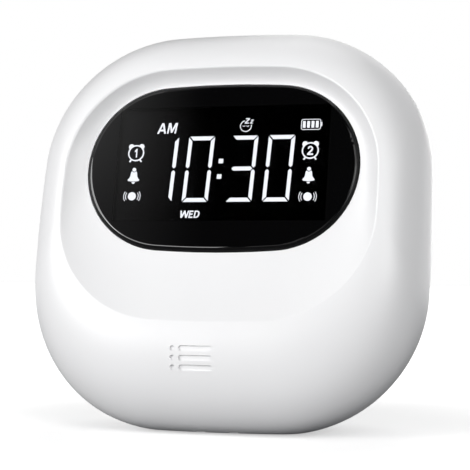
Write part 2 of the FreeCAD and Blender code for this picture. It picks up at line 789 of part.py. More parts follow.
cradle.append(box("hook_rib_back", hook_width, ("motor_back + hook_gap",
                                                "motor_back + hook_gap + hook_rib_thickness"),
                  ("-base_drop", f"{FLOOR} + hook_rib_height")))
cradle.append(rod("strap_boss", "y", "strap_boss_radius", ("motor_back", "back_reach"), strap_boss))
cradle += [rod(f"key_boss_{number}", "y", "key_boss_radius", ("key_board_rear", "back_reach"), place)
           for number, place in enumerate(KEY_SCREWS)]
cradle += [rod(f"socket_post_{number}", "z", "post_radius",
               ("-base_drop", "-socket_drop - socket_board_thickness"), place)
           for number, place in enumerate(posts)]
back_holes = [rod("motor_seat", "x", rib_reach + " + hook_gap", (CAN_TAIL, f"-({CAN_TAIL})"), MOTOR_AXIS)]
back_holes.append(rod("strap_pilot", "y", "pilot_radius",
                      ("motor_back - overrun", "motor_back + screw_length + overrun"), strap_boss))
back_holes += [rod(f"key_pilot_{number}", "y", "pilot_radius",
                   ("key_board_rear - overrun", "key_board_rear + screw_length"), place)
               for number, place in enumerate(KEY_SCREWS)]
back_holes += [rod(f"post_pilot_{number}", "z", "pilot_radius",
                   ("-socket_drop - socket_board_thickness - screw_length",
                    "-socket_drop - socket_board_thickness + overrun"), place)
               for number, place in enumerate(posts)]
through_wall = ("back_reach - shell_wall - overrun", "back_reach + overrun")
back_holes += [rod(f"{key}_hole", "y", "key_radius + key_gap", through_wall,
                   (f"{column} * key_spacing", row)) for key, (column, row) in KEYS.items()]
back_holes.append(box("slider_slot", around("0", "0.5 * (slider_grip_length + slider_travel) + slider_gap"),
                      through_wall, around("-slider_drop", "0.5 * slider_grip_width + slider_gap")))
socket_middle = "-socket_drop + 0.5 * socket_height"
socket_flat = "0.5 * (socket_width - socket_height)"
back_holes.append(box("socket_slot", around("socket_right", socket_flat), through_wall,
                      around(socket_middle, "0.5 * socket_height + socket_gap")))
back_holes += [rod(f"socket_slot_end_{number}", "y", "0.5 * socket_height + socket_gap", through_wall,
                   (f"socket_right + {sign} * ({socket_flat})", socket_middle))
               for number, sign in enumerate((-1, 1))]
pad_recess = plate("pad_recess", around("0", "pad_half_width + lip_gap"),
                   ("-pad_front - lip_gap", "pad_back + lip_gap"),
                   ("-base_drop - overrun", "-base_drop + pad_thickness - pad_proud"),
                   "pad_corner", across="z")
in_cover = in_upright(fuse("back_inside", cradle), "upright").common(root_limit)
screw_tubes = in_upright(fuse("case_tubes", tubes), "leaning").common(root_limit)
back = back_outside.cut(case_hollow).fuse([lip, screw_tubes, in_cover])
back = back.cut(in_upright(fuse("case_counterbores", counterbores), "leaning"))
back = back.cut(in_upright(fuse("back_holes", back_holes), "upright")).cut(made(pad_recess))
keep(shape_piece("back_cover_shape", back.removeSplitter()), "back_cover", upright)

# Display lens: oval plate of glossy tinted plastic, rounded along its front edge
lens = lens_prism(0, mm("lens_front"), mm("lens_front") - mm("lens_thickness"))
unturned = tilt.inverted()
front_rim = [edge for edge in lens.Edges
             if abs(unturned.multVec(edge.CenterOfMass).y + mm("lens_front")) < mm("lens_edge_round") / 100]
lens = lens.makeFillet(mm("lens_edge_round"), front_rim)
keep(shape_piece("display_lens_shape", lens), "display_lens", upright)

# Lens mask: black adhesive film behind the lens, with the display's window cut out
mask_hole = box("mask_hole", around("0", "window_half_width"), (f"-({LENS_BACK}) - overrun", "seam_back"),
                around("window_rise", "window_half_height"))
film = lens_prism(-mm("mask_inset"), mm("lens_front") - mm("lens_thickness"),
                  mm("lens_front") - mm("lens_thickness") - mm("mask_thickness"))
keep(shape_piece("lens_mask_shape", film.cut(in_upright(mask_hole, "leaning"))), "lens_mask", upright)

# Display holder: black moulded frame that clamps panel and light guide against the main board
holder_block = plate("holder_block", around("0", "holder_half_width"),
                     (f"-({SHELF_BACK})", "-board_front"), around("window_rise", "holder_half_height"),
                     "window_corner")
holder_inside = box("holder_inside", around("0", "panel_half_width + panel_gap"),
                    (f"-({PANEL_FRONT})", "-board_front + overrun"),
                    around("window_rise", "panel_half_height + panel_gap"))
holder_window = box("holder_window", around("0", "window_half_width + shelf_margin"),
                    (f"-({SHELF_BACK}) - overrun", f"-({PANEL_FRONT}) + overrun"),
                    around("window_rise", "window_half_height + shelf_margin"))
keep(cut("holder_cut", holder_block, fuse("holder_openings", [holder_inside, holder_window])),
     "display_holder", leaning)

# Display panel: black glass whose bars and signs light up white
keep(plate("panel_body", around("0", "panel_half_width"), (f"-({PANEL_FRONT})", f"-({PANEL_BACK})"),
           around("window_rise", "panel_half_height"), "window_corner"), "display_panel", leaning)

# Lit bars of the time: four slanted seven-bar digits and a colon of two squares, thin diffusing
# windows on the panel's front face
LIT_BARS = {"0": "abcdef", "1": "bc", "3": "abcdg"}


def bar(corners):
    """One lit bar, as a thin solid on the panel's face, from its corners as side and rise."""
    points = [Vector(side, 0, rise) for side, rise in corners]
    return Part.Face(Part.makePolygon(points + points[:1])).extrude(Vector(0, -mm("digit_thickness"), 0))


def level_bar(rise):
    """A bar across the digit: mitred into its corners at the top and bottom, pointed in the middle."""
    thick = mm("digit_level_stroke")
    reach = mm("digit_width") / 2 - mm("digit_gap")
    if rise == 0:
        tip = reach - mm("digit_upright_stroke") / 2
        shoulder = tip - thick / 2
        return [(-tip, 0), (-shoulder, thick / 2), (shoulder, thick / 2), (tip, 0),
                (shoulder, -thick / 2), (-shoulder, -thick / 2)]
    inner = reach - mm("digit_upright_stroke")
    inner_rise = rise - math.copysign(thick, rise)
    return [(-reach, rise), (reach, rise), (inner, inner_rise), (-inner, inner_rise)]


def upright_bar(x_sign, z_sign):
    """A bar up one side of the digit: mitred at its corner and pointed where it meets the middle."""
    thick = mm("digit_upright_stroke")
    outer = mm("digit_width") / 2
    top = mm("digit_height") / 2 - mm("digit_gap")
    tip = mm("digit_gap")
    shoulder = tip + thick / 2
    corners = [(outer, top), (outer, shoulder), (outer - thick / 2, tip), (outer - thick, shoulder),
               (outer - thick, top - mm("digit_level_stroke"))]
    return [(x_sign * side, z_sign * rise) for side, rise in corners]


def digit_bars(mark, middle):
    """The lit bars of one digit, upright, about its middle in the leaning frame."""
    top = mm("digit_height") / 2
    corners = {
        "a": level_bar(top), "g": level_bar(0), "d": level_bar(-top),
        "b": upright_bar(1, 1), "c": upright_bar(1, -1), "e": upright_bar(-1, -1), "f": upright_bar(-1, 1),
    }
    bars = [bar(corners[letter]) for letter in LIT_BARS[mark]]
    for piece in bars:
        piece.translate(middle)
    return bars


lit_bars = []
digit_places = [side * (mm("colon_to_digit") + step * mm("digit_pitch"))
                for side, step in ((-1, 1), (-1, 0), (1, 0), (1, 1))]
for mark, side in zip(SHOWN_TIME.replace(":", ""), digit_places):
    lit_bars += digit_bars(mark, Vector(side, 0, 0))
for rise in (-mm("colon_half_spacing"), mm("colon_half_spacing")):
    half = mm("colon_side") / 2
    dot = Part.makeBox(2 * half, mm("digit_thickness"), 2 * half)
    dot.translate(Vector(-half, -mm("digit_thickness"), rise - half))
    lit_bars.append(dot)
slanted = FreeCAD.Matrix()
slanted.A13 = math.tan(math.radians(DIGIT_SLANT))
lit_time = Part.makeCompound(lit_bars).transformGeometry(slanted)
lit_time.translate(Vector(-mm("digits_left"), -mm("lens_front") + mm("lens_thickness")
                          + mm("mask_thickness") + mm("shelf_thickness") + mm("holder_lip"),
                          mm("digits_rise")))
keep(shape_piece("lit_bars_shape", lit_time), "lit_time_bars", leaning)

# Light guide: clear block behind the panel that spreads the light of the board's lamps
keep(plate("guide_body", around("0", "panel_half_width"), (f"-({PANEL_BACK})", "-board_front"),
           around("window_rise", "guide_half_height"), "window_corner"), "light_guide", leaning)

# Contact strips: soft strips with conducting layers, pressed between panel and board
for label, sign in (("upper_contact_strip", 1), ("lower_contact_strip", -1)):
    middle = f"window_rise + {sign} * (panel_half_height - strip_inset - 0.5 * strip_width)"
    keep(box(label + "_body", around("0", "0.5 * strip_length"), (f"-({PANEL_BACK})", "-board_front"),
             around(middle, "0.5 * strip_width")), label, leaning)

# Main board: rounded circuit board on the four bosses of the front shell
board_plate = plate("main_board_plate", around("0", "board_half_width"),
                    ("-board_front", f"-({BOARD_BACK})"), ("-board_bottom", "board_top"), "board_corner")
board_holes = [rod(f"board_hole_{number}", "y", "screw_hole_radius",
                   ("-board_front - overrun", f"-({BOARD_BACK}) + overrun"), place)
               for number, place in enumerate(BOARD_SCREWS)]
keep(cut("main_board_cut", board_plate, fuse("board_holes", board_holes)), "main_board", leaning)


# Small screws: pan head with a crossed recess, made once for each place and grouped by where they go
def screw(name, along, seat, sign, place, radius, length, head_radius, head_height):
    """Screw whose head stands on a seat and whose shank runs along an axis, towards sign."""
    shank_end = f"({seat}) + {sign} * ({length})"
    head_end = f"({seat}) - {sign} * ({head_height})"
    low_first = (lambda a, b: (a, b)) if sign > 0 else (lambda a, b: (b, a))
    shank = rod(name + "_shank", along, radius, low_first(seat, shank_end), place)
    head = rod(name + "_head", along, head_radius, low_first(head_end, seat), place)
    bars = []
    for number, (wide, tall) in enumerate((("recess_reach", "0.5 * recess_width"),
                                           ("0.5 * recess_width", "recess_reach"))):
        deep = low_first(f"{head_end} - {sign} * overrun", f"{head_end} + {sign} * recess_depth")
        spans = {along: deep}
        others = [letter for letter in "xyz" if letter != along]
        spans[others[0]] = around(place[0], wide)
        spans[others[1]] = around(place[1], tall)
        bars.append(box(f"{name}_recess_{number}", spans["x"], spans["y"], spans["z"]))
    return cut(name, fuse(name + "_blank", [shank, head]), fuse(name + "_cross", bars))


small = ("screw_radius", "screw_length", "screw_head_radius", "screw_head_height")
keep(group("board_screw_group", [screw(f"board_screw_{number}", "y", f"-({BOARD_BACK})", -1, place, *small)
                                 for number, place in enumerate(BOARD_SCREWS)]), "board_screws", leaning)
keep(group("key_screw_group", [screw(f"key_screw_{number}", "y", "key_board_rear - key_board_thickness", 1,
                                     place, *small)
                               for number, place in enumerate(KEY_SCREWS)]), "key_board_screws", upright)
keep(screw("strap_screw_body", "y", "motor_back - strap_thickness", 1, strap_boss, *small),
     "strap_screw", upright)
keep(group("socket_screw_group", [screw(f"socket_screw_{number}", "z", "-socket_drop", -1, place, *small)
                                  for number, place in enumerate(posts)]), "socket_board_screws", upright)
case_kind = ("case_screw_radius", "case_screw_length", "case_screw_head_radius", "case_screw_head_height")
keep(group("case_screw_group", [screw(f"case_screw_{number}", "y", "seam_back + case_seat_thickness", -1,
                                      place, *case_kind)
                                for number, place in enumerate(CASE_SCREWS)]), "case_screws", leaning)

# Chips on the back of the main board: controller, motor driver and crystal
for label, width, height, thickness, place in (
        ("controller_chip", "chip_size", "chip_size", "chip_thickness", ("-chip_left", "chip_rise")),
        ("motor_driver_chip", "driver_size", "driver_size", "driver_thickness",
         ("driver_right", "driver_rise")),
        ("crystal", "crystal_length", "crystal_width", "crystal_thickness",
         ("crystal_right", "crystal_rise"))):
    keep(box(label + "_body", around(place[0], f"0.5 * {width}"),
             (f"-({BOARD_BACK})", f"-({BOARD_BACK}) + {thickness}"), around(place[1], f"0.5 * {height}")),
         label, leaning)

# Battery: flat lithium cell, stuck to the main board by a foam pad
battery_front = f"-({BOARD_BACK}) + foam_thickness"
battery = doc.addObject("PartDesign::Body", "battery_body")
battery_sketch = rectangle_sketch(battery, "battery_outline", "XZ_Plane", "2 * battery_half_width",
                                  "battery_height", ("-battery_half_width", "-battery_bottom",
                                                     f"-({battery_front}) - battery_thickness"))
battery_block = pad(battery, "battery_block", battery_sketch, "battery_thickness")
doc.recompute()
round_edges(battery, "battery_rounds", battery_block, parallel_edges(battery_block.Shape, Vector(1, 0, 0)),
            "battery_round")
keep(battery, "battery_cell", leaning)
keep(box("foam_body", around("0", "battery_half_width - foam_margin"), (f"-({BOARD_BACK})", battery_front),
         ("-battery_bottom + foam_margin", "-battery_bottom + battery_height - foam_margin")),
     "battery_foam", leaning)

# Loudspeaker: pressed steel basket, magnet and thin cone, seated in the ring of the front shell
speaker_place = Placement(Vector(0, -mm("speaker_front") + mm("speaker_depth"), -mm("speaker_drop")),
                          Rotation(Vector(1, 0, 0), 90))
basket = turned("speaker_basket", [
    ("0", "0"), ("speaker_back_radius", "0"), ("speaker_radius", "speaker_depth - speaker_rim"),
    ("speaker_radius", "speaker_depth"), ("speaker_radius - speaker_wall", "speaker_depth"),
    ("speaker_radius - speaker_wall", "speaker_depth - speaker_rim + speaker_wall"),
    ("speaker_back_radius - speaker_wall", "speaker_wall"), ("0", "speaker_wall")])
speaker_magnet = turned("speaker_magnet_body", [
    ("0", "0"), ("speaker_magnet_radius", "0"), ("speaker_magnet_radius", "speaker_magnet_depth"),
    ("0", "speaker_magnet_depth")])
cone = turned("speaker_cone_body", [
    ("0", "speaker_wall"), ("speaker_dome_radius", "speaker_wall"),
    ("speaker_cone_radius", "speaker_depth - speaker_rim + speaker_wall"),
    ("speaker_radius - speaker_wall", "speaker_depth - speaker_rim + speaker_wall"),
    ("speaker_radius - speaker_wall", "speaker_depth - speaker_rim + speaker_wall + speaker_cone_thickness"),
    ("speaker_cone_radius", "speaker_depth - speaker_rim + speaker_wall + speaker_cone_thickness"),
    ("speaker_dome_radius", "speaker_wall + speaker_cone_thickness"),
    ("0", "speaker_wall + speaker_cone_thickness")])
for piece, label, back in ((basket, "speaker_basket", 0), (cone, "speaker_cone", 0),
                           (speaker_magnet, "speaker_magnet", mm("speaker_magnet_depth"))):
    piece.Placement = speaker_place.multiply(Placement(Vector(0, 0, -back), Rotation()))
    keep(piece, label, leaning)

# Vibration motor, along X: steel can, end cap, bushes, magnets, and a rotor with the off-centre weight
motor_place = Placement(Vector(0, mm("motor_back"), -mm("motor_drop")), Rotation(Vector(0, 1, 0), 90))
can = turned("motor_can_body", [
    ("motor_radius", "0"), ("motor_radius", "motor_length"), ("motor_nose_radius", "motor_length"),
    ("motor_nose_radius", "motor_length + motor_nose_length"),
    ("bush_radius", "motor_length + motor_nose_length"), ("bush_radius", "motor_length - motor_wall"),
    ("motor_radius - motor_wall", "motor_length - motor_wall"), ("motor_radius - motor_wall", "0")])
can.Placement = motor_place
can.setExpression("Placement.Base.x", cells(CAN_TAIL))
doc.recompute()
can_holder = group("motor_can_holder", [can])
keep(can_holder, "motor_can", upright)


def ring(name, outer, inner, ends, place):
    """Plain ring along X."""
    hole = rod(name + "_hole", "x", inner, (f"{ends[0]} - overrun", f"{ends[1]} + overrun"), place)
    return cut(name, rod(name + "_disc", "x", outer, ends, place), hole)


keep(ring("motor_cap_body", "motor_radius", "bush_radius", (MOTOR_TAIL, CAN_TAIL), MOTOR_AXIS),
     "motor_end_cap", upright)
keep(group("terminal_pair", [
    box(f"terminal_{number}", (f"{MOTOR_TAIL} - terminal_length", MOTOR_TAIL),
        around(f"motor_back + {sign} * terminal_side", "0.5 * terminal_width"),
        around("-motor_drop", "0.5 * terminal_thickness")) for number, sign in enumerate((-1, 1))]),
     "motor_terminals", upright)
bush_bore = "shaft_radius + shaft_clearance"
keep(group("bush_pair", [
    ring("tail_bush", "bush_radius", bush_bore, (MOTOR_TAIL, CAN_TAIL), MOTOR_AXIS),
    ring("nose_bush", "bush_radius", bush_bore,
         (f"{CAN_TAIL} + motor_length - motor_wall", MOTOR_NOSE), MOTOR_AXIS)]), "motor_bushes", upright)
magnet_outer = "motor_radius - motor_wall - magnet_gap"
magnet_ends = around(MOTOR_MIDDLE, "0.5 * magnet_length")
magnet_ring = ring("magnet_ring", magnet_outer, f"{magnet_outer} - magnet_thickness", magnet_ends,
                   MOTOR_AXIS)
magnet_gap_block = box("magnet_gap_block", magnet_ends, around("motor_back", "motor_radius"),
                       around("-motor_drop", "magnet_half_gap"))
keep(cut("magnet_pair", magnet_ring, magnet_gap_block), "motor_magnets", upright)
armature_slots = []
for number in range(ARMATURE_SLOTS):
    slot = box(f"armature_slot_{number}", around(MOTOR_MIDDLE, "armature_length"),
               ("armature_core", "motor_radius"), around("0", "0.5 * armature_slot"))
    turn = Rotation(Vector(1, 0, 0), 90 + number * 360 / ARMATURE_SLOTS)
    arm = doc.addObject("Part::Compound", f"armature_slot_turned_{number}")
    arm.Links = [slot]
    arm.Placement = Placement(Vector(0, mm("motor_back"), -mm("motor_drop")), turn)
    armature_slots.append(arm)
core = ring("armature_core_ring", "armature_radius", "shaft_radius",
            around(MOTOR_MIDDLE, "0.5 * armature_length"), MOTOR_AXIS)
keep(cut("armature_body", core, fuse("armature_slots", armature_slots)), "motor_armature", upright)
keep(rod("shaft_body", "x", "shaft_radius", (f"{MOTOR_TAIL} - shaft_tail",
                                             f"{MOTOR_NOSE} + weight_gap + weight_length + shaft_overhang"),
         MOTOR_AXIS), "motor_shaft", upright)
weight_ends = (f"{MOTOR_NOSE} + weight_gap", f"{MOTOR_NOSE} + weight_gap + weight_length")
half_disc = cut("weight_half", rod("weight_disc", "x", "weight_radius", weight_ends, MOTOR_AXIS),
                box("weight_upper", weight_ends, around("motor_back", "weight_radius"),
                    ("-motor_drop", "-motor_drop + weight_radius")))
hub = rod("weight_hub", "x", "weight_hub_radius", weight_ends, MOTOR_AXIS)
weight_bore = rod("weight_bore", "x", "shaft_radius",
                  (f"{weight_ends[0]} - overrun", f"{weight_ends[1]} + overrun"), MOTOR_AXIS)
keep(cut("weight_body", fuse("weight_blank", [half_disc, hub]), weight_bore), "eccentric_weight", upright)
keep(ring("sleeve_body", "motor_radius + sleeve_thickness", "motor_radius + sleeve_gap",
          around(MOTOR_MIDDLE, "0.5 * sleeve_length"), MOTOR_AXIS), "motor_sleeve", upright)

# Motor strap: sprung steel band over the sleeve, hooked between the floor ribs and screwed down above
strap_ends = around(MOTOR_MIDDLE, "0.5 * strap_width")
strap_ring = ring("strap_ring", "motor_radius + sleeve_thickness + strap_thickness",
                  "motor_radius + sleeve_thickness", strap_ends, MOTOR_AXIS)
strap_half = cut("strap_half", strap_ring,
                 box("strap_back_half", strap_ends, ("motor_back", "2 * back_reach"),
                     around("-motor_drop", "base_drop")))
strap_ear_depth = ("motor_back - strap_thickness", "motor_back")
ears = [box("strap_upper_ear", strap_ends, strap_ear_depth,
            ("-motor_drop + motor_radius + sleeve_thickness", "-motor_drop + strap_ear_top")),
        box("strap_lower_ear", strap_ends, strap_ear_depth,
            ("-motor_drop - strap_hook_drop", "-motor_drop - motor_radius - sleeve_thickness"))]
keep(cut("strap_body", fuse("strap_blank", [strap_half] + ears),
         rod("strap_hole", "y", "screw_hole_radius", ("motor_back - strap_thickness - overrun",
                                                      "motor_back + overrun"), strap_boss)),
     "motor_strap", upright)

# Button board behind the back wall, with one tact switch for each button
key_plate = plate("key_board_plate", around("0", "key_board_half_width"),
                  ("key_board_rear - key_board_thickness", "key_board_rear"),
                  ("-key_board_bottom", "key_board_top"), "key_board_corner")
key_board_holes = [rod(f"key_board_hole_{number}", "y", "screw_hole_radius",
                       ("key_board_rear - key_board_thickness - overrun", "key_board_rear + overrun"), place)
                   for number, place in enumerate(KEY_SCREWS)]
keep(cut("key_board_cut", key_plate, fuse("key_board_holes", key_board_holes)), "button_board", upright)
PLUNGER_TOP = "key_board_rear + switch_height + plunger_rise"
facing_back = Rotation(Vector(1, 0, 0), -90)
for key, (column, rise) in KEYS.items():
    side = f"{column} * key_spacing"
    case_block = box(f"{key}_switch_block", around(side, "0.5 * switch_side"),
                     ("key_board_rear", "key_board_rear + switch_height"), around(rise, "0.5 * switch_side"))
    bore = rod(f"{key}_switch_bore", "y", "switch_bore_radius",
               ("key_board_rear + switch_height - switch_bore_depth",
                "key_board_rear + switch_height + overrun"), (side, rise))
    keep(cut(f"{key}_switch_body", case_block, bore), f"{key}_switch", upright)
    keep(rod(f"{key}_plunger_body", "y", "plunger_radius", (f"{PLUNGER_TOP} - plunger_length", PLUNGER_TOP),
             (side, rise)), f"{key}_plunger", upright)
    flange_top = f"{WALL_INSIDE} - key_flange_gap - ({PLUNGER_TOP})"
    key_top = f"back_reach + key_proud - ({PLUNGER_TOP})"
    button = turned(f"{key}_button_body", [
        ("0", "0"), ("key_stem_radius", "0"), ("key_stem_radius", f"{flange_top} - key_flange_thickness"),
        ("key_flange_radius", f"{flange_top} - key_flange_thickness"), ("key_flange_radius", flange_top),
        ("key_radius", flange_top), ("key_radius", key_top), ("0", key_top)])
    doc.recompute()
    turned_shape = button.Tip.Shape
    rims = [f"Edge{index}" for index, edge in enumerate(turned_shape.Edges, start=1)
            if edge.Curve.TypeId == "Part::GeomCircle"
            and edge.CenterOfMass.z > turned_shape.BoundBox.ZMax - mm("key_round") / 2]
    round_edges(button, f"{key}_button_round", button.Tip, rims, "key_round")
    button.Placement = Placement(Vector(column * mm("key_spacing"),
                                        mm("key_board_rear") + mm("switch_height") + mm("plunger_rise"),
                                        mm(rise)), facing_back)
    keep(button, f"{key}_button", upright)

# Mode slider: three-way slide switch on the button board and the ribbed knob that works it
slider_rest = "-0.5 * slider_travel"
slider_body = box("slider_block", around("0", "0.5 * slider_body_length"),
                  ("key_board_rear", "key_board_rear + slider_body_height"),
                  around("-slider_drop", "0.5 * slider_body_width"))
slider_groove = box("slider_groove", around("0", "0.5 * (slider_travel + slider_stem) + slider_gap"),
                    ("key_board_rear + slider_body_height - slider_stem_depth - slider_gap",
                     "key_board_rear + slider_body_height + overrun"),
                    around("-slider_drop", "0.5 * slider_stem + slider_gap"))
keep(cut("slider_body_cut", slider_body, slider_groove), "mode_switch", upright)
flange_back = f"{WALL_INSIDE} - key_flange_gap"
knob_parts = [
    box("knob_stem", around(slider_rest, "0.5 * slider_stem"),
        ("key_board_rear + slider_body_height - slider_stem_depth", flange_back),
        around("-slider_drop", "0.5 * slider_stem")),
    box("knob_flange", around(slider_rest, "0.5 * slider_flange_length"),
        (f"{flange_back} - key_flange_thickness", flange_back),
        around("-slider_drop", "0.5 * slider_flange_width")),
    box("knob_grip", around(slider_rest, "0.5 * slider_grip_length"),
        (f"{flange_back} - 0.5 * key_flange_thickness", "back_reach + slider_grip_proud - slider_ridge"),
        around("-slider_drop", "0.5 * slider_grip_width"))]
knob_parts += [box(f"knob_ridge_{number + 1}",
                   around(f"{slider_rest} + {number} * slider_ridge_pitch", "0.5 * slider_ridge"),
                   (flange_back, "back_reach + slider_grip_proud"),
                   around("-slider_drop", "0.5 * slider_grip_width")) for number in (-1, 0, 1)]
keep(fuse("knob_body", knob_parts), "mode_slider", upright)

# Charging socket: rounded steel shell with a contact tongue, on a small board that stands on two posts
socket_front = "back_reach - socket_inset - socket_length"
socket_mouth = "back_reach - socket_inset"


def slot_block(name, inset, ends):
    """Block with round ends, the cross section of the socket drawn in by an inset."""
    half = f"0.5 * socket_height - ({inset})"
    pieces = [box(name + "_flat", around("socket_right", socket_flat), ends, around(socket_middle, half))]
    pieces += [rod(f"{name}_end_{number}", "y", half, ends,
                   (f"socket_right + {sign} * ({socket_flat})", socket_middle))
               for number, sign in enumerate((-1, 1))]
    return fuse(name, pieces)


socket_shell = slot_block("socket_outer", "0", (socket_front, socket_mouth))
socket_inside = slot_block("socket_inner", "socket_wall",
                           (f"{socket_front} + socket_back_wall", f"{socket_mouth} + overrun"))
keep(cut("socket_shell_body", socket_shell, socket_inside), "charging_socket", upright)
keep(box("tongue_body", around("socket_right", "0.5 * tongue_width"),
         (f"{socket_front} + socket_back_wall", f"{socket_front} + socket_back_wall + tongue_length"),
         around(socket_middle, "0.5 * tongue_thickness")), "socket_tongue", upright)
socket_board_plate = box("socket_board_plate", around("socket_right", "socket_board_half_width"),
                         ("socket_board_front", "socket_board_front + socket_board_length"),
                         ("-socket_drop - socket_board_thickness", "-socket_drop"))
socket_board_holes = [rod(f"socket_board_hole_{number}", "z", "screw_hole_radius",
                          ("-socket_drop - socket_board_thickness - overrun", "-socket_drop + overrun"),
                          place) for number, place in enumerate(posts)]
keep(cut("socket_board_cut", socket_board_plate, fuse("socket_board_holes", socket_board_holes)),
     "socket_board", upright)

# Base pad: soft rubber foot in a recess of the back cover, grooved so that it doesn't creep
pad_body = plate("base_pad_body", around("0", "pad_half_width"), ("-pad_front", "pad_back"),
                 ("-base_drop - pad_proud", "-base_drop + pad_thickness - pad_proud"), "pad_corner",
                 across="z")
grooves = [box(f"pad_groove_{number}", around("0", "pad_half_width + overrun"),
               around(f"0.5 * (pad_back - pad_front) + ({number}) * pad_groove_pitch",
                      "0.5 * pad_groove_width"),
               ("-base_drop - pad_proud - overrun", "-base_drop - pad_proud + pad_groove_depth"))
           for number in [index - (PAD_GROOVES - 1) / 2 for index in range(PAD_GROOVES)]]
keep(cut("base_pad_cut", pad_body, fuse("pad_grooves", grooves)), "base_pad", upright)

# Every object is tested before anything is written, then each sub-part goes to a file of its own
doc.recompute()
for item in doc.Objects:
    if "Invalid" in item.State or "Error" in item.State:
        raise RuntimeError(f"{item.Name} could not be made: {item.State}")
for piece in nodes:
    if piece.Shape.isNull() or not piece.Shape.isValid() or not piece.Shape.Solids:
        raise RuntimeError(f"{piece.Label} has no valid solid")
os.makedirs("parts", exist_ok=True)
for piece in nodes:
    piece.Shape.exportStep(os.path.join("parts", piece.Label + ".step"))
print(len(nodes), "sub-parts written")
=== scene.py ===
import math

import bpy
from mathutils import Matrix, Vector


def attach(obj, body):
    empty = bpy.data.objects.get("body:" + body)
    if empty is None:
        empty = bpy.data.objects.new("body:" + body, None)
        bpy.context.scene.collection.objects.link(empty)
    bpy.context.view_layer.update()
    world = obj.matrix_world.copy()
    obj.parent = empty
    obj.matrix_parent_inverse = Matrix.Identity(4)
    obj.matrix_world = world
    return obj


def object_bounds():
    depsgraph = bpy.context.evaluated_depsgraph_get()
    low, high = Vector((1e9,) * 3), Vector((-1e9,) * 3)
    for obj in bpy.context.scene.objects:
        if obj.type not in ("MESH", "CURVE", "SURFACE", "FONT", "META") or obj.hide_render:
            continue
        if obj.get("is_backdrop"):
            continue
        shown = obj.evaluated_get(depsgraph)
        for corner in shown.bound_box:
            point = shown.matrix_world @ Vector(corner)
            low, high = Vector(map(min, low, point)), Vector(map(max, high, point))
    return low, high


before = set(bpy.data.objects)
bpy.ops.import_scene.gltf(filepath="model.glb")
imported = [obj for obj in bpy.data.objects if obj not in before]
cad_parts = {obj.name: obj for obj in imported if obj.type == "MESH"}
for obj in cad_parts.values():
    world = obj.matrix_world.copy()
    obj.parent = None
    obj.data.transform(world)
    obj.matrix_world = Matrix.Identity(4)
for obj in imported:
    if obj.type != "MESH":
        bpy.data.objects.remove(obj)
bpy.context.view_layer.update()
MM = 0.001


# Back cover: the rear half of the case, one injection-moulded shell of white ABS with a satin,
# spark-eroded texture. Screw tubes, board posts and the motor's cradle are moulded inside it.
def blank(name):
    """A new material, with its node tree and its shader."""
    material = bpy.data.materials.new(name)
    material.use_nodes = True
    tree = material.node_tree
    return material, tree, tree.nodes["Principled BSDF"]


def speckle(tree, size, detail=2, stretch=(1, 1, 1)):
    """Noise between 0 and 1 whose blotches are about this size, in metres."""
    place = tree.nodes.new("ShaderNodeTexCoord")
    spread = tree.nodes.new("ShaderNodeMapping")
    spread.inputs["Scale"].default_value = [share / size for share in stretch]
    noise = tree.nodes.new("ShaderNodeTexNoise")
    noise.inputs["Scale"].default_value = 1
    noise.inputs["Detail"].default_value = detail
    tree.links.new(place.outputs["Object"], spread.inputs["Vector"])
    tree.links.new(spread.outputs["Vector"], noise.inputs["Vector"])
    return noise.outputs["Fac"]


def swing(tree, factor, low, high):
    """The factor spread between two values."""
    spread = tree.nodes.new("ShaderNodeMapRange")
    spread.inputs["To Min"].default_value = low
    spread.inputs["To Max"].default_value = high
    tree.links.new(factor, spread.inputs["Value"])
    return spread.outputs["Result"]


def between(tree, factor, first, second):
    """A colour between two, as the factor says."""
    mix = tree.nodes.new("ShaderNodeMix")
    mix.data_type = "RGBA"
    mix.inputs["A"].default_value = first
    mix.inputs["B"].default_value = second
    tree.links.new(factor, mix.inputs["Factor"])
    return mix.outputs["Result"]


def relief(tree, shader, height, depth):
    """Bumps the shader's surface by this height's swing, this deep in metres."""
    bump = tree.nodes.new("ShaderNodeBump")
    bump.inputs["Distance"].default_value = depth
    tree.links.new(height, bump.inputs["Height"])
    tree.links.new(bump.outputs["Normal"], shader.inputs["Normal"])


def moulded(name, colour, flow_colour, grain, depth, blotch, dull, dull_swing):
    """Moulded plastic or rubber: a fine mould texture, with faint flow marks in colour and gloss."""
    material, tree, shader = blank(name)
    flow = speckle(tree, blotch)
    tree.links.new(between(tree, flow, colour, flow_colour), shader.inputs["Base Color"])
    tree.links.new(swing(tree, flow, dull - dull_swing, dull + dull_swing), shader.inputs["Roughness"])
    relief(tree, shader, speckle(tree, grain, detail=3), depth)
    return material


def dress(material, *names):
    """Gives the nodes of these names one finish."""
    for name in names:
        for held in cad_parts[name].material_slots:
            held.material = material


case_white = moulded("case_white", colour=(0.86, 0.86, 0.865, 1), flow_colour=(0.845, 0.845, 0.855, 1),
                     grain=0.22 * MM, depth=0.004 * MM, blotch=14 * MM, dull=0.36, dull_swing=0.03)
dress(case_white, "back_cover")


# Base pad: a grooved strip of grey silicone rubber, pressed into a pocket in the base so that the
# clock doesn't creep over the table as it shakes.
pad_rubber = moulded("pad_rubber", colour=(0.42, 0.42, 0.43, 1), flow_colour=(0.36, 0.36, 0.37, 1),
                     grain=0.12 * MM, depth=0.01 * MM, blotch=5 * MM, dull=0.72, dull_swing=0.06)
dress(pad_rubber, "base_pad")


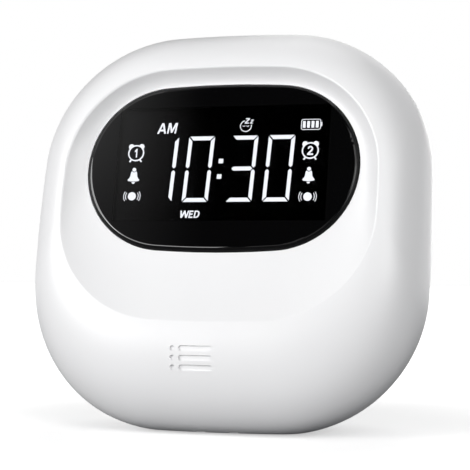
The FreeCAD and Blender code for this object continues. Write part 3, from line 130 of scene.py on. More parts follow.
# Charging socket: a folded nickel-plated steel shell with a black tongue inside, soldered to a small
# green board that two screws hold to the back cover.
STREAK_DEPTH = 0.003 * MM
STREAK_DULL_SWING = 0.07
LACQUER = (0.012, 0.11, 0.045, 1)
LACQUER_PALE = (0.012, 0.12, 0.05, 1)
TRACK_COLOUR = (0.03, 0.2, 0.085, 1)
TRACK_WIDTH_SHARE = 0.12
TRACK_PATTERN_UNIT = 1.6 * MM
TRACK_HEIGHT = 0.03 * MM
LACQUER_BLOTCH = 2 * MM


def pressed_metal(name, colour, streak_colour, dull, streak, stretch=(1, 1, 1)):
    """Sheet or turned metal: fine streaks one way, and gloss that varies along them."""
    material, tree, shader = blank(name)
    shader.inputs["Metallic"].default_value = 1
    streaks = speckle(tree, streak, detail=4, stretch=stretch)
    gloss = swing(tree, streaks, dull - STREAK_DULL_SWING, dull + STREAK_DULL_SWING)
    tree.links.new(between(tree, streaks, colour, streak_colour), shader.inputs["Base Color"])
    tree.links.new(gloss, shader.inputs["Roughness"])
    relief(tree, shader, streaks, STREAK_DEPTH)
    return material


def solder_mask(name):
    """Green lacquer over copper tracks, which show as slightly raised and lighter lines."""
    material, tree, shader = blank(name)
    tracks = tree.nodes.new("ShaderNodeTexBrick")
    tracks.inputs["Scale"].default_value = 1 / TRACK_PATTERN_UNIT
    tracks.inputs["Mortar Size"].default_value = TRACK_WIDTH_SHARE
    tracks.inputs["Color1"].default_value = LACQUER
    tracks.inputs["Color2"].default_value = LACQUER_PALE
    tracks.inputs["Mortar"].default_value = TRACK_COLOUR
    place = tree.nodes.new("ShaderNodeTexCoord")
    tree.links.new(place.outputs["Object"], tracks.inputs["Vector"])
    tree.links.new(tracks.outputs["Color"], shader.inputs["Base Color"])
    gloss = swing(tree, speckle(tree, LACQUER_BLOTCH), low=0.22, high=0.34)
    tree.links.new(gloss, shader.inputs["Roughness"])
    relief(tree, shader, tracks.outputs["Fac"], TRACK_HEIGHT)
    return material


nickel = pressed_metal("nickel", colour=(0.62, 0.61, 0.58, 1), streak_colour=(0.52, 0.51, 0.49, 1),
                       dull=0.28, streak=0.4 * MM, stretch=(0.2, 1, 1))
steel = pressed_metal("zinc_steel", colour=(0.56, 0.57, 0.59, 1), streak_colour=(0.46, 0.47, 0.5, 1),
                      dull=0.34, streak=0.3 * MM)
chip_black = moulded("chip_black", colour=(0.022, 0.022, 0.024, 1), flow_colour=(0.03, 0.03, 0.032, 1),
                     grain=0.06 * MM, depth=0.006 * MM, blotch=3 * MM, dull=0.55, dull_swing=0.06)
board_green = solder_mask("board_green")
dress(nickel, "charging_socket")
dress(chip_black, "socket_tongue")
dress(board_green, "socket_board")
dress(steel, "socket_board_screws")


# Vibration motor: a nickel-plated can with a white end cap, brass terminals and bushes, two curved
# magnets, and an armature whose shaft swings an off-centre brass weight. A rubber sleeve grips the
# can, and a steel strap with one screw holds it in the back cover's cradle.
cap_white = moulded("cap_white", colour=(0.72, 0.71, 0.68, 1), flow_colour=(0.66, 0.65, 0.62, 1),
                    grain=0.1 * MM, depth=0.006 * MM, blotch=4 * MM, dull=0.5, dull_swing=0.05)
brass = pressed_metal("brass", colour=(0.72, 0.53, 0.24, 1), streak_colour=(0.62, 0.44, 0.19, 1),
                      dull=0.3, streak=0.25 * MM, stretch=(1, 0.3, 1))
magnet_dark = moulded("magnet_dark", colour=(0.07, 0.07, 0.075, 1), flow_colour=(0.045, 0.045, 0.05, 1),
                      grain=0.08 * MM, depth=0.01 * MM, blotch=2 * MM, dull=0.6, dull_swing=0.08)
copper = pressed_metal("winding_copper", colour=(0.62, 0.28, 0.13, 1), streak_colour=(0.45, 0.18, 0.08, 1),
                       dull=0.36, streak=0.15 * MM, stretch=(0.15, 1, 1))
sleeve_rubber = moulded("sleeve_rubber", colour=(0.03, 0.03, 0.031, 1),
                        flow_colour=(0.022, 0.022, 0.023, 1), grain=0.1 * MM, depth=0.012 * MM,
                        blotch=3 * MM, dull=0.7, dull_swing=0.06)
dress(nickel, "motor_can", "motor_shaft", "motor_strap")
dress(cap_white, "motor_end_cap")
dress(brass, "motor_terminals", "motor_bushes", "eccentric_weight")
dress(magnet_dark, "motor_magnets")
dress(copper, "motor_armature")
dress(sleeve_rubber, "motor_sleeve")
dress(steel, "strap_screw")


# Battery: a lithium pouch cell in crimped aluminium foil. A pad of grey closed-cell foam tape
# sticks it to the main board.
foil = pressed_metal("battery_foil", colour=(0.66, 0.67, 0.69, 1), streak_colour=(0.56, 0.57, 0.6, 1),
                     dull=0.4, streak=1.2 * MM)
foam = moulded("foam_grey", colour=(0.12, 0.12, 0.125, 1), flow_colour=(0.07, 0.07, 0.075, 1),
               grain=0.35 * MM, depth=0.12 * MM, blotch=1.5 * MM, dull=0.9, dull_swing=0.05)
dress(foil, "battery_cell")
dress(foam, "battery_foam")


# Loudspeaker: a pressed steel basket, a dark film cone with a dome, and a sintered ring magnet.
# It fires down into the chamber behind the slots at the front's lower edge.
cone_film = moulded("cone_film", colour=(0.05, 0.05, 0.055, 1), flow_colour=(0.065, 0.065, 0.07, 1),
                    grain=0.5 * MM, depth=0.01 * MM, blotch=4 * MM, dull=0.4, dull_swing=0.06)
dress(nickel, "speaker_basket")
dress(cone_film, "speaker_cone")
dress(magnet_dark, "speaker_magnet")


# Main board: the clock's green circuit board behind the display, with its controller, the motor's
# driver, the timing crystal's can and the two striped silicone contact strips.
SILICONE_GREY = (0.45, 0.4, 0.44, 1)
STRIPE_BLACK = (0.03, 0.03, 0.03, 1)
STRIPE_PITCH = 0.71061 * MM
STRIPE_HEIGHT = 0.01 * MM
SILICONE_BLOTCH = 0.5 * MM
WAVES_PER_UNIT = 20 / math.tau


def striped_silicone(name):
    """Contact strip: grey silicone with close black stripes of carbon-filled rubber."""
    material, tree, shader = blank(name)
    stripes = tree.nodes.new("ShaderNodeTexWave")
    stripes.inputs["Scale"].default_value = 1 / (WAVES_PER_UNIT * STRIPE_PITCH)
    place = tree.nodes.new("ShaderNodeTexCoord")
    tree.links.new(place.outputs["Object"], stripes.inputs["Vector"])
    mixed = between(tree, stripes.outputs["Fac"], SILICONE_GREY, STRIPE_BLACK)
    tree.links.new(mixed, shader.inputs["Base Color"])
    gloss = swing(tree, speckle(tree, SILICONE_BLOTCH), low=0.5, high=0.65)
    tree.links.new(gloss, shader.inputs["Roughness"])
    relief(tree, shader, stripes.outputs["Fac"], STRIPE_HEIGHT)
    return material


contact_silicone = striped_silicone("contact_silicone")
dress(board_green, "main_board")
dress(steel, "board_screws")
dress(chip_black, "controller_chip", "motor_driver_chip")
dress(nickel, "crystal")
dress(contact_silicone, "upper_contact_strip", "lower_contact_strip")


# Button board: a second green board behind the back face. Each of its six tact switches has a
# nickel-plated frame and a black plunger that a white moulded button presses.
KEYS = ("alarm_1", "time_set", "alarm_2", "up", "snooze", "down")
key_white = moulded("key_white", colour=(0.8, 0.8, 0.81, 1), flow_colour=(0.78, 0.78, 0.79, 1),
                    grain=0.15 * MM, depth=0.004 * MM, blotch=6 * MM, dull=0.33, dull_swing=0.04)
dress(board_green, "button_board")
dress(steel, "key_board_screws")
for key in KEYS:
    dress(nickel, key + "_switch")
    dress(chip_black, key + "_plunger")
    dress(key_white, key + "_button")


# Mode switch: a slide switch soldered to the button board, with a ridged white knob that reaches
# out through a slot in the back cover.
dress(nickel, "mode_switch")
dress(key_white, "mode_slider")


# Display: a black moulded holder carries the light guide and a glass panel whose segments light up
# white. The panel looks out through the window in the lens's mask.
LIT_COLOUR = (0.96, 0.98, 1, 1)
LIT_COLOUR_DIM = (0.9, 0.93, 0.97, 1)
LIT_STRENGTH = 3.6
FILM_COLOUR = (0.6, 0.6, 0.6, 1)
FILM_MOTTLE = 0.25 * MM
FILM_MOTTLE_DEPTH = 0.002 * MM
GLASS_SPECULAR = 0.2


def lit_surface(name):
    """White light that comes up through diffusing film, with the film's faint mottle."""
    material, tree, shader = blank(name)
    mottle = speckle(tree, FILM_MOTTLE)
    shader.inputs["Base Color"].default_value = FILM_COLOUR
    tree.links.new(between(tree, mottle, LIT_COLOUR, LIT_COLOUR_DIM), shader.inputs["Emission Color"])
    shader.inputs["Emission Strength"].default_value = LIT_STRENGTH
    tree.links.new(swing(tree, mottle, low=0.4, high=0.5), shader.inputs["Roughness"])
    relief(tree, shader, mottle, FILM_MOTTLE_DEPTH)
    return material


lit_white = lit_surface("lit_white")
holder_black = moulded("holder_black", colour=(0.015, 0.015, 0.016, 1), flow_colour=(0.02, 0.02, 0.021, 1),
                       grain=0.12 * MM, depth=0.006 * MM, blotch=6 * MM, dull=0.5, dull_swing=0.05)
panel_glass = moulded("panel_glass", colour=(0.0025, 0.0025, 0.003, 1),
                      flow_colour=(0.002, 0.002, 0.0025, 1), grain=1.5 * MM, depth=0.0005 * MM,
                      blotch=9 * MM, dull=0.12, dull_swing=0.02)
panel_shader = panel_glass.node_tree.nodes["Principled BSDF"]
panel_shader.inputs["Specular IOR Level"].default_value = GLASS_SPECULAR
guide_clear = moulded("guide_clear", colour=(0.7, 0.73, 0.75, 1), flow_colour=(0.66, 0.69, 0.72, 1),
                      grain=0.8 * MM, depth=0.004 * MM, blotch=6 * MM, dull=0.12, dull_swing=0.03)
dress(lit_white, "lit_time_bars")
dress(holder_black, "display_holder")
dress(panel_glass, "display_panel")
dress(guide_clear, "light_guide")


# Signs on the panel: fixed segments for the day, morning, alarms, bells, shakers, snooze and
# battery, lit from behind in the same white as the time. Their sizes are in millimetres, across
# and up the leaning face.
LEAN = math.radians(14.8)
FACE_PIVOT = Vector((0, -1 * MM, 43.6 * MM))
ACROSS = Vector((1, 0, 0))
UP_FACE = Vector((0, math.sin(LEAN), math.cos(LEAN)))
OUT_FACE = Vector((0, -math.cos(LEAN), math.sin(LEAN)))
PANEL_FRONT = 8.4 * MM
SIGN_THICKNESS = 0.1 * MM
face_turn = Matrix((ACROSS, UP_FACE, OUT_FACE)).transposed().to_4x4()
panel_place = Matrix.Translation(FACE_PIVOT + OUT_FACE * (PANEL_FRONT + SIGN_THICKNESS)) @ face_turn


def sweep(start, end, steps):
    """Evenly spread angles in radians, between two in degrees."""
    return [math.radians(start + (end - start) * n / steps) for n in range(steps + 1)]


def arc_points(x, z, radius, turns):
    """The points at these angles, in radians, on a circle."""
    return [(x + radius * math.cos(turn), z + radius * math.sin(turn)) for turn in turns]


def circle(x, z, radius, points=32):
    """The corners of a round outline."""
    return arc_points(x, z, radius, [math.tau * n / points for n in range(points)])


def arc_band(x, z, radius, width, start, end, steps=20):
    """The corners of a stroke of this width along an arc, between two angles in degrees."""
    turns = sweep(start, end, steps)
    outer = arc_points(x, z, radius + width / 2, turns)
    inner = arc_points(x, z, radius - width / 2, turns)
    return outer + inner[::-1]


CORNER_STEPS = 6


def rounded_box(left, low, right, high, radius):
    """The corners of a box with rounded corners."""
    corners = ((right - radius, high - radius, 0), (left + radius, high - radius, 90),
               (left + radius, low + radius, 180), (right - radius, low + radius, 270))
    outline = []
    for x, z, start in corners:
        outline += arc_points(x, z, radius, sweep(start, start + 90, CORNER_STEPS))
    return outline


def flat_sign(name, outlines, material, place, thickness):
    """One printed or lit sign: closed outlines in millimetres, filled, with holes where they nest."""
    curve = bpy.data.curves.new(name, "CURVE")
    curve.dimensions = "2D"
    curve.fill_mode = "BOTH"
    curve.extrude = thickness / 2
    for outline in outlines:
        spline = curve.splines.new("POLY")
        spline.points.add(len(outline) - 1)
        spline.use_cyclic_u = True
        for point, (x, z) in zip(spline.points, outline):
            point.co = (x * MM, z * MM, 0, 1)
    holder = bpy.data.objects.new(name, curve)
    bpy.context.scene.collection.objects.link(holder)
    mesh = bpy.data.meshes.new_from_object(holder)
    bpy.data.objects.remove(holder)
    mesh.materials.clear()
    mesh.materials.append(material)
    piece = bpy.data.objects.new(name, mesh)
    bpy.context.scene.collection.objects.link(piece)
    piece.matrix_world = place
    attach(piece, "root")


def lit_sign(name, outlines):
    """One sign of the panel, lit like the time."""
    flat_sign(name, outlines, lit_white, panel_place, SIGN_THICKNESS)


# Each mark is drawn in shares of its width and height, and filled except where an outline nests.
LETTER_SHARES = {
    "A": [[(0, 0), (0.38, 1), (0.62, 1), (1, 0), (0.8, 0), (0.73, 0.22), (0.27, 0.22), (0.2, 0)],
          [(0.34, 0.39), (0.66, 0.39), (0.5, 0.8)]],
    "M": [[(0, 0), (0, 1), (0.25, 1), (0.5, 0.36), (0.75, 1), (1, 1), (1, 0), (0.84, 0), (0.84, 0.72),
           (0.57, 0.07), (0.43, 0.07), (0.16, 0.72), (0.16, 0)]],
    "W": [[(0.15, 0), (0, 1), (0.15, 1), (0.24, 0.34), (0.43, 1), (0.57, 1), (0.76, 0.34), (0.85, 1),
           (1, 1), (0.85, 0), (0.69, 0), (0.5, 0.64), (0.31, 0)]],
    "E": [[(0, 0), (0, 1), (0.95, 1), (0.95, 0.83), (0.26, 0.83), (0.26, 0.6), (0.86, 0.6), (0.86, 0.43),
           (0.26, 0.43), (0.26, 0.17), (1, 0.17), (1, 0)]],
    "D": [[(0, 0), (0, 1), (0.5, 1), (0.8, 0.91), (0.97, 0.7), (1, 0.5), (0.97, 0.3), (0.8, 0.09),
           (0.5, 0)],
          [(0.22, 0.17), (0.22, 0.83), (0.48, 0.83), (0.68, 0.75), (0.77, 0.5), (0.68, 0.25),
           (0.48, 0.17)]],
    "Z": [[(0, 0), (0, 0.18), (0.68, 0.83), (0.05, 0.83), (0.05, 1), (1, 1), (1, 0.82), (0.32, 0.17),
           (1, 0.17), (1, 0)]],
    "1": [[(0.5, 0), (0.5, 0.74), (0.12, 0.6), (0.12, 0.78), (0.58, 1), (0.8, 1), (0.8, 0)]],
    "2": [[(0, 0), (0, 0.15), (0.56, 0.53), (0.72, 0.68), (0.69, 0.8), (0.5, 0.87), (0.3, 0.81),
           (0.22, 0.68), (0.04, 0.71), (0.14, 0.91), (0.36, 1), (0.66, 1), (0.9, 0.88), (0.95, 0.68),
           (0.86, 0.49), (0.4, 0.17), (1, 0.17), (1, 0)]],
}


def letter_outlines(mark, left, low, right, high, slant=0):
    """The outlines of one plain letter that fills this box, with its top pushed over by the slant."""
    wide = right - left
    tall = high - low
    return [[(left + wide * side + slant * tall * rise, low + tall * rise) for side, rise in shape]
            for shape in LETTER_SHARES[mark]]


# A bell's right-hand side, from the notch under its knob down to its rim, in shares of its width
# and height. Knob and clapper are in shares of its height, and the notch runs between two angles.
BELL_SIDE = ((0.17, 0.79), (0.25, 0.72), (0.29, 0.5), (0.36, 0.37), (0.49, 0.27), (0.5, 0.22),
             (0.42, 0.185), (0.22, 0.165), (0, 0.158))
BELL_KNOB = 0.115
BELL_NOTCH = (210, 330)
BELL_NOTCH_PER_KNOB = 1.45
CLAPPER_RISE = 0.115
CLAPPER_RADIUS = 0.05
CLAPPER_WIDTH = 0.1


def bell_outlines(x, top, width, height):
    """A hand bell: its knob in a notch, the flared body and the clapper, as filled outlines."""
    low = top - height
    knob = BELL_KNOB * height
    right = [(x + width * side, low + height * rise) for side, rise in BELL_SIDE]
    left = [(2 * x - px, pz) for px, pz in right[-2::-1]]
    notch = arc_points(x, top - knob, BELL_NOTCH_PER_KNOB * knob, sweep(*BELL_NOTCH, steps=8))
    clapper = arc_band(x, low + CLAPPER_RISE * height, CLAPPER_RADIUS * height, CLAPPER_WIDTH * height,
                       start=180, end=360, steps=10)
    return [circle(x, top - knob, knob, points=20), notch + right + left, clapper]


# A twin-bell alarm clock's two bells and two feet: their angles round the ring in degrees, and
# their sizes in shares of the ring's radius. Half of a foot's width is a turn in radians.
RING_STEPS = 240
TWIN_BELL_ANGLES = (51, 129)
TWIN_BELL_SHARE = 0.34
FOOT_ANGLES = (236, 304)
FOOT_HALF_TURN = 0.085
FOOT_SHARE = 1.32


def alarm_clock_outlines(x, z, ring, line):
    """A twin-bell alarm clock's front: the ring with two round bells above it and two feet."""
    bell = TWIN_BELL_SHARE * ring
    outline = []
    for step in range(RING_STEPS):
        turn = math.tau * step / RING_STEPS
        reach = ring
        for angle in TWIN_BELL_ANGLES:
            aside = math.sin(turn - math.radians(angle)) * ring
            ahead = math.cos(turn - math.radians(angle)) * ring
            if abs(aside) < bell and ahead > 0:
                reach = max(reach, ahead + math.sqrt(bell * bell - aside * aside))
        for angle in FOOT_ANGLES:
            if abs(turn - math.radians(angle)) < FOOT_HALF_TURN:
                reach = FOOT_SHARE * ring
        outline += arc_points(x, z, reach, [turn])
    return [outline, circle(x, z, ring - line, points=48)]


# A shaker's two arcs on each side, in shares of its disc's radius, and half of their sweep.
SHAKER_ARCS = (1.6, 2.08)
SHAKER_LINE = 0.13
SHAKER_HALF_SWEEP = 33


def shaker_outlines(x, z, radius):
    """A shaking motor: a disc with two thin arcs on each side."""
    outlines = [circle(x, z, radius)]
    for side in (0, 180):
        for share in SHAKER_ARCS:
            outlines.append(arc_band(x, z, radius * share, SHAKER_LINE * radius,
                                     side - SHAKER_HALF_SWEEP, side + SHAKER_HALF_SWEEP))
    return outlines


RING = 1.86
RING_LINE = 0.27
BELL_WIDTH = 2.66
BELL_HEIGHT = 3.7
DISC = 0.92
CLOCK_RISE = 15.16
NUMBER_HALF_HEIGHT = 0.99
ALARM_SIGNS = (
    {"number": 1, "clock_x": -20.49, "bell": (-20.57, 11.76), "disc": (-20.6, 5.26), "half_width": 0.4},
    {"number": 2, "clock_x": 18.86, "bell": (18.83, 11.48), "disc": (18.85, 4.91), "half_width": 0.63},
)
for signs in ALARM_SIGNS:
    number = signs["number"]
    clock_x = signs["clock_x"]
    half_width = signs["half_width"]
    lit_sign(f"alarm_{number}_sign", alarm_clock_outlines(clock_x, CLOCK_RISE, RING, RING_LINE))
    lit_sign(f"alarm_{number}_number",
             letter_outlines(str(number), clock_x - half_width, CLOCK_RISE - NUMBER_HALF_HEIGHT,
                             clock_x + half_width, CLOCK_RISE + NUMBER_HALF_HEIGHT))
    lit_sign(f"bell_{number}_sign", bell_outlines(*signs["bell"], BELL_WIDTH, BELL_HEIGHT))
    lit_sign(f"shaker_{number}_sign", shaker_outlines(*signs["disc"], DISC))

BATTERY_OUTSIDE = (16.52, 19.83, 20.84, 22.24)
BATTERY_INSIDE = (16.63, 19.94, 20.73, 22.13)
BATTERY_NUB = (20.9, 20.55, 21.12, 21.55)
CHARGE_LEFTS = (16.89, 17.84, 18.8, 19.75)
CHARGE_WIDTH = 0.6
CHARGE_LOW = 20.3
CHARGE_HIGH = 21.8
battery = [rounded_box(*BATTERY_OUTSIDE, radius=0.45), rounded_box(*BATTERY_INSIDE, radius=0.36),
           rounded_box(*BATTERY_NUB, radius=0.1)]
for left in CHARGE_LEFTS:
    battery.append(rounded_box(left, CHARGE_LOW, left + CHARGE_WIDTH, CHARGE_HIGH, radius=0.08))
lit_sign("battery_sign", battery)

SLEEPER_MIDDLE = (4.2, 20.96)
SLEEPER_EYES = ((3.75, 21.17), (4.6, 21.17))
sleeper = [arc_band(*SLEEPER_MIDDLE, radius=1.24, width=0.15, start=105, end=372)]
for middle in SLEEPER_EYES:
    sleeper.append(arc_band(*middle, radius=0.28, width=0.1, start=200, end=340))
lit_sign("snooze_sign", sleeper)

Z_LOW = 21.52
MORNING_LOW = 19.58
MORNING_HIGH = 21.98
DAY_LOW = 0.32
DAY_HIGH = 1.92
for size, left, right, high in (("large", 3.9, 4.8, 22.72), ("small", 5.1, 5.72, 22.4)):
    lit_sign(f"snooze_{size}_z", letter_outlines("Z", left, Z_LOW, right, high, slant=0.16))
for mark, left, right, slant in (("A", -15.98, -13.98, 0.1), ("M", -13.72, -11.68, 0.14)):
    outlines = letter_outlines(mark, left, MORNING_LOW, right, MORNING_HIGH, slant)
    lit_sign(f"morning_{mark.lower()}", outlines)
for mark, left, right in (("W", -9.34, -7.36), ("E", -7.26, -6.36), ("D", -6.1, -4.91)):
    lit_sign(f"day_{mark.lower()}", letter_outlines(mark, left, DAY_LOW, right, DAY_HIGH, slant=0.14))


# Lens mask: black adhesive film behind the lens, with a window for the display. It hides all else
# that stands behind the lens.
film_black = moulded("film_black", colour=(0.006, 0.006, 0.0065, 1), flow_colour=(0.008, 0.008, 0.0085, 1),
                     grain=0.2 * MM, depth=0.002 * MM, blotch=8 * MM, dull=0.45, dull_swing=0.04)
dress(film_black, "lens_mask")


# Display lens: an oval of dark tinted acrylic with a polished face and rounded edge, printed black
# outside the display's window, and glued into the seat of the dish so that it stands a little proud.
WINDOW_HALF_WIDTH = 23.7 * MM
WINDOW_HALF_HEIGHT = 12.9 * MM
WINDOW_RISE = 11.6 * MM
WINDOW_FADE = 0.15 * MM
LENS_TINT = (0.3, 0.3, 0.31, 1)
LENS_BLACK = (0.002, 0.002, 0.0022, 1)
LENS_INDEX = 1.49
LENS_SPECULAR = 0.5
LENS_RIPPLE = 6 * MM
LENS_RIPPLE_DEPTH = 0.0004 * MM
LENS_FRONT = 12.4 * MM
LENS_EDGE_ROUND = 1.1 * MM
LENS_EDGE_DROP = LENS_EDGE_ROUND / 5
LENS_EDGE_DULL = 0.38
LENS_EDGE_SPECULAR = 0.16


def combined(tree, operation, first, second):
    """One value worked out from two, each a number or another node's value."""
    node = tree.nodes.new("ShaderNodeMath")
    node.operation = operation
    for socket, value in zip(node.inputs, (first, second)):
        if isinstance(value, (int, float)):
            socket.default_value = value
        else:
            tree.links.new(value, socket)
    return node.outputs[0]


def ramp(tree, value, low, high, low_result, high_result):
    """The value carried smoothly from one range over to another."""
    spread = tree.nodes.new("ShaderNodeMapRange")
    spread.interpolation_type = "SMOOTHSTEP"
    spread.inputs["From Min"].default_value = low
    spread.inputs["From Max"].default_value = high
    spread.inputs["To Min"].default_value = low_result
    spread.inputs["To Max"].default_value = high_result
    tree.links.new(value, spread.inputs["Value"])
    return spread.outputs["Result"]


def face_reach(tree, direction, middle, half):
    """How far a point lies outside a band across this direction from the face's pivot, in metres."""
    place = tree.nodes.new("ShaderNodeTexCoord")
    along = tree.nodes.new("ShaderNodeVectorMath")
    along.operation = "DOT_PRODUCT"
    tree.links.new(place.outputs["Object"], along.inputs[0])
    along.inputs[1].default_value = direction
    offset = combined(tree, "SUBTRACT", along.outputs["Value"], FACE_PIVOT.dot(direction) + middle)
    return combined(tree, "SUBTRACT", combined(tree, "ABSOLUTE", offset, 0), half)


def tinted_acrylic(name):
    """Smoked clear plastic, black outside the window, polished on its face and satin round its edge."""
    material, tree, shader = blank(name)
    ripple = speckle(tree, LENS_RIPPLE)
    outside = combined(tree, "MAXIMUM", face_reach(tree, ACROSS, 0, WINDOW_HALF_WIDTH),
                       face_reach(tree, UP_FACE, WINDOW_RISE, WINDOW_HALF_HEIGHT))
    tinted = ramp(tree, outside, -2 * WINDOW_FADE, -WINDOW_FADE, 1, 0)
    tree.links.new(between(tree, tinted, LENS_BLACK, LENS_TINT), shader.inputs["Base Color"])
    tree.links.new(ramp(tree, outside, -WINDOW_FADE, 0, 1, 0), shader.inputs["Transmission Weight"])
    shader.inputs["IOR"].default_value = LENS_INDEX
    sunk = ramp(tree, face_reach(tree, OUT_FACE, 0, 0), LENS_FRONT - LENS_EDGE_DROP, LENS_FRONT, 1, 0)
    edge = combined(tree, "MULTIPLY", sunk, ramp(tree, outside, 0, LENS_EDGE_ROUND, 0, 1))
    dull = combined(tree, "MULTIPLY", edge, LENS_EDGE_DULL)
    gloss = swing(tree, ripple, low=0.01, high=0.025)
    tree.links.new(combined(tree, "MAXIMUM", dull, gloss), shader.inputs["Roughness"])
    specular = swing(tree, edge, LENS_SPECULAR, LENS_EDGE_SPECULAR)
    tree.links.new(specular, shader.inputs["Specular IOR Level"])
    relief(tree, shader, ripple, LENS_RIPPLE_DEPTH)
    return material


lens_black = tinted_acrylic("lens_black")
dress(lens_black, "display_lens")


# Front shell: the front half of the case in the same white ABS, with the dish, the sunken mark and
# the two sound slots moulded in. Four long screws through the back cover hold the halves together.
dress(case_white, "front_shell")
dress(steel, "case_screws")


# Back signs: small grey pad-printed marks on the flat of the back, each beside the control it
# belongs to: two alarms, time, plus, snooze, minus, the mode knob's two ends and the charger.
# Their sizes are in millimetres, across and up the back as it is seen from behind.
BACK_FACE = 16.5 * MM
INK_THICKNESS = 0.03 * MM
INK_LIFT = 0.4 * INK_THICKNESS
ink_grey = moulded("ink_grey", colour=(0.16, 0.16, 0.165, 1), flow_colour=(0.2, 0.2, 0.205, 1),
                   grain=0.1 * MM, depth=0.002 * MM, blotch=1.5 * MM, dull=0.5, dull_swing=0.05)
back_turn = Matrix(((-1, 0, 0), (0, 0, 1), (0, 1, 0))).transposed().to_4x4()
back_place = Matrix.Translation((0, BACK_FACE + INK_LIFT, 0)) @ back_turn


def printed_sign(name, outlines):
    """One printed mark of the back."""
    flat_sign(name, outlines, ink_grey, back_place, INK_THICKNESS)


KEY_COLUMN = 17
TOP_SIGNS_RISE = 69.4
LOW_SIGNS_RISE = 47
BELL_ASIDE = 0.9
BELL_TOP = TOP_SIGNS_RISE + 1.5
NUMBER_ASIDE = (0.9, 2)
NUMBER_LOW = TOP_SIGNS_RISE - 1.1
NUMBER_HIGH = TOP_SIGNS_RISE + 0.9
for number, middle in ((1, -KEY_COLUMN), (2, KEY_COLUMN)):
    bell = bell_outlines(middle - BELL_ASIDE, BELL_TOP, width=2.3, height=3.1)
    printed_sign(f"printed_bell_{number}", bell)
    left, right = (middle + aside for aside in NUMBER_ASIDE)
    digit = letter_outlines(str(number), left, NUMBER_LOW, right, NUMBER_HIGH)
    printed_sign(f"printed_number_{number}", digit)

CLOCK_HANDS = ((-0.12, 1), (-0.12, -0.12), (0.85, -0.12), (0.85, 0.12), (0.12, 0.12), (0.12, 1))
printed_sign("printed_time", [circle(0, TOP_SIGNS_RISE, radius=1.5, points=48),
                              circle(0, TOP_SIGNS_RISE, radius=1.28, points=48),
                              [(side, TOP_SIGNS_RISE + rise) for side, rise in CLOCK_HANDS]])

PLUS_HALF = 1.1
PLUS_LINE = 0.2
quarter = ((PLUS_HALF, -PLUS_LINE), (PLUS_HALF, PLUS_LINE), (PLUS_LINE, PLUS_LINE))
plus = []
for step in range(4):
    turned = Matrix.Rotation(math.tau * step / 4, 2)
    for corner in quarter:
        side, rise = turned @ Vector(corner)
        plus.append((side - KEY_COLUMN, LOW_SIGNS_RISE + rise))
printed_sign("printed_plus", [plus])
printed_sign("printed_minus", [rounded_box(KEY_COLUMN - PLUS_HALF, LOW_SIGNS_RISE - PLUS_LINE,
                                           KEY_COLUMN + PLUS_HALF, LOW_SIGNS_RISE + PLUS_LINE,
                                           radius=0.1)])

for size, left, width, drop, tall in (("large", -1.3, 1.4, 1, 1.8), ("small", 0.5, 0.9, 0, 1.2)):
    low = LOW_SIGNS_RISE - drop
    outlines = letter_outlines("Z", left, low, left + width, low + tall, slant=0.1)
    printed_sign(f"printed_{size}_z", outlines)

MODE_SIGNS_SIDE = 4.2
SOUND_TOP = 38
SHAKING_RISE = 36.75
SOCKET_COLUMN = 20
BOLT_RISE = 24.2
BOLT = ((0.35, 1.5), (-0.8, -0.15), (-0.1, -0.15), (-0.35, -1.5), (0.8, 0.15), (0.1, 0.15))
printed_sign("printed_sound", bell_outlines(MODE_SIGNS_SIDE, SOUND_TOP, width=1.9, height=2.5))
printed_sign("printed_shaking", shaker_outlines(-MODE_SIGNS_SIDE, SHAKING_RISE, radius=0.62))
printed_sign("printed_charging", [[(side - SOCKET_COLUMN, BOLT_RISE + rise) for side, rise in BOLT]])


# Studio: a pale matt floor that goes over into a white backdrop, and soft boxes all round, the
# strongest of them low at the front's two sides, so that the underside of the case stays in shade.
FLOOR_HALF = 900 * MM
FLOOR_SEEN = (0.8, 0.8, 0.8, 1)
FLOOR_BOUNCE = (0.19, 0.193, 0.2, 1)
FLOOR_FADE = (40 * MM, 130 * MM)
FLOOR_GLOW = (0.5, 1)
BEHIND_FADE = (30 * MM, 450 * MM)
WHITE = (1, 1, 1, 1)


def background_rays(tree):
    """Two factors: one for rays from the camera, and one for rays off a mirror or through glass."""
    path = tree.nodes.new("ShaderNodeLightPath")
    mirrored = combined(tree, "MAXIMUM", path.outputs["Is Glossy Ray"],
                        path.outputs["Is Transmission Ray"])
    return path.outputs["Is Camera Ray"], mirrored


def floor_material():
    """Pale floor that keeps the clock's shadow and goes over into white away from it."""
    material, tree, shader = blank("floor_white")
    to_eye, mirrored = background_rays(tree)
    tree.links.new(between(tree, to_eye, FLOOR_BOUNCE, FLOOR_SEEN), shader.inputs["Base Color"])
    shader.inputs["Roughness"].default_value = 1
    shader.inputs["Specular IOR Level"].default_value = 0
    place = tree.nodes.new("ShaderNodeTexCoord")
    reach = tree.nodes.new("ShaderNodeVectorMath")
    reach.operation = "LENGTH"
    tree.links.new(place.outputs["Object"], reach.inputs[0])
    split = tree.nodes.new("ShaderNodeSeparateXYZ")
    tree.links.new(place.outputs["Object"], split.inputs[0])
    behind = ramp(tree, split.outputs["Y"], *BEHIND_FADE, 0, 1)
    around = ramp(tree, reach.outputs["Value"], *FLOOR_FADE, *FLOOR_GLOW)
    near_glow = combined(tree, "MULTIPLY", to_eye, around)
    far_glow = combined(tree, "MULTIPLY", mirrored, behind)
    glow = combined(tree, "MAXIMUM", near_glow, far_glow)
    shader.inputs["Emission Color"].default_value = WHITE
    tree.links.new(glow, shader.inputs["Emission Strength"])
    return material


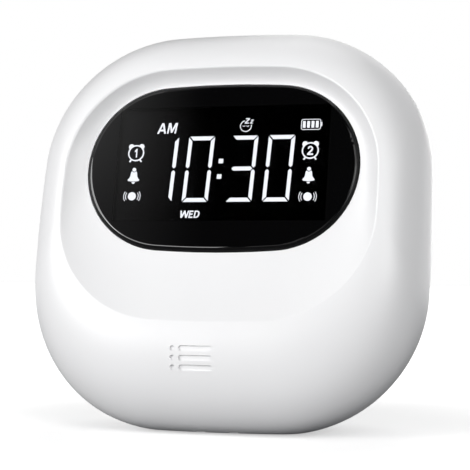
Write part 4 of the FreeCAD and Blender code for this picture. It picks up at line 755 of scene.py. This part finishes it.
floor_mesh = bpy.data.meshes.new("floor")
floor_corners = [(-FLOOR_HALF, -FLOOR_HALF, 0), (FLOOR_HALF, -FLOOR_HALF, 0),
                 (FLOOR_HALF, FLOOR_HALF, 0), (-FLOOR_HALF, FLOOR_HALF, 0)]
floor_mesh.from_pydata(floor_corners, [], [(0, 1, 2, 3)])
floor_mesh.materials.append(floor_material())
floor = bpy.data.objects.new("floor", floor_mesh)
bpy.context.scene.collection.objects.link(floor)
floor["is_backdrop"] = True


def soft_lamp(name, place, aim, width, height, power):
    """A soft box of this size, in metres, that shines from its place to its aim."""
    lamp = bpy.data.lights.new(name, "AREA")
    lamp.shape = "RECTANGLE"
    lamp.size = width
    lamp.size_y = height
    lamp.energy = power
    holder = bpy.data.objects.new(name, lamp)
    bpy.context.scene.collection.objects.link(holder)
    holder.location = place
    holder.rotation_euler = (Vector(aim) - Vector(place)).to_track_quat("-Z", "Y").to_euler()


LAMP_REACH = 1.1
LAMP_LOWEST = 0.15
LAMP_WIDTH = 0.55
LAMP_AIM = (0, 0, 40 * MM)
# For each rise in degrees, the soft boxes' height in metres, and then each one's turn from the
# front in degrees and its power in watts.
LAMPS = {
    5: (0.28, ((-30, 3.5), (0, 0.3), (150, 0.47), (180, 1.7))),
    18: (0.5, ((-48, 7.1), (50, 4.3), (70, 1.05))),
    35: (0.5, ((-60, 0.15), (30, 1.55), (150, 0.64), (180, 1.25))),
    65: (0.5, ((180, 1.64),)),
}
for rise, (height, lamps) in LAMPS.items():
    level = LAMP_REACH * math.cos(math.radians(rise))
    lift = max(LAMP_REACH * math.sin(math.radians(rise)), LAMP_LOWEST)
    for turn, power in lamps:
        aside = level * math.sin(math.radians(turn))
        ahead = level * math.cos(math.radians(turn))
        soft_lamp(f"lamp_{rise}_{turn}", (aside, -ahead, lift), LAMP_AIM, LAMP_WIDTH, height, power)


# The backdrop: where it changes, in parts of a direction to the side, back or up, and how bright it
# is there.
FRONT_FADE = (0.2, -0.3)
LEFT_BOX_EDGE = (-0.285, -0.4)
LEFT_BOX_RISE = (0.46, 0.55)
LEFT_BOX_GLOW = (0.4, 1.15)
HORIZON_RISE = (0.2, 0.4)
HORIZON_BACK = (-0.2, 0.4)
MIRRORED_HORIZON = 0.6


def studio_world():
    """White backdrop for the camera. Mirrors see it at the horizon, and a soft box at the left front."""
    world = bpy.data.worlds.new("studio")
    bpy.context.scene.world = world
    world.use_nodes = True
    tree = world.node_tree
    background = tree.nodes["Background"]
    place = tree.nodes.new("ShaderNodeTexCoord")
    split = tree.nodes.new("ShaderNodeSeparateXYZ")
    tree.links.new(place.outputs["Generated"], split.inputs[0])
    side, back, rise = split.outputs
    to_eye, mirrored = background_rays(tree)
    box_edge = ramp(tree, side, *LEFT_BOX_EDGE, 0, 1)
    box_height = ramp(tree, rise, *LEFT_BOX_RISE, *LEFT_BOX_GLOW)
    box_front = ramp(tree, back, *FRONT_FADE, 0, 1)
    left_box = combined(tree, "MULTIPLY", combined(tree, "MULTIPLY", box_edge, box_height), box_front)
    low_band = ramp(tree, rise, *HORIZON_RISE, 1, 0)
    back_band = ramp(tree, back, *HORIZON_BACK, 0, 1)
    horizon = combined(tree, "MULTIPLY", low_band, back_band)
    horizon_glow = combined(tree, "MULTIPLY", mirrored, MIRRORED_HORIZON)
    mirrored_horizon = combined(tree, "MULTIPLY", horizon, horizon_glow)
    mirrored_box = combined(tree, "MULTIPLY", left_box, mirrored)
    in_mirror = combined(tree, "MAXIMUM", mirrored_horizon, mirrored_box)
    glow = combined(tree, "MAXIMUM", in_mirror, to_eye)
    tree.links.new(glow, background.inputs["Strength"])
    background.inputs["Color"].default_value = WHITE


studio_world()


# Camera: level, at the height of the clock's middle and a little to its right, with a long lens.
# Its place, turn and focal length come from a fit to the outlines in the photo.
EYE_TURN = math.radians(15.73)
EYE_PLACE = Vector((90.22, -318.64, 42.54)) * MM
FOCAL_PIXELS = 1500
PHOTO_PIXELS = 470
SENSOR_WIDTH = 36
NEAREST_SEEN = 10 * MM
camera = bpy.data.cameras.new("camera")
camera.sensor_width = SENSOR_WIDTH
camera.lens = SENSOR_WIDTH * FOCAL_PIXELS / PHOTO_PIXELS
camera.clip_start = NEAREST_SEEN
eye = bpy.data.objects.new("camera", camera)
bpy.context.scene.collection.objects.link(eye)
eye.location = EYE_PLACE
eye.rotation_euler = (math.radians(90), 0, EYE_TURN)
bpy.context.scene.camera = eye
bpy.context.scene.view_settings.view_transform = "Standard"

low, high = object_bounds()
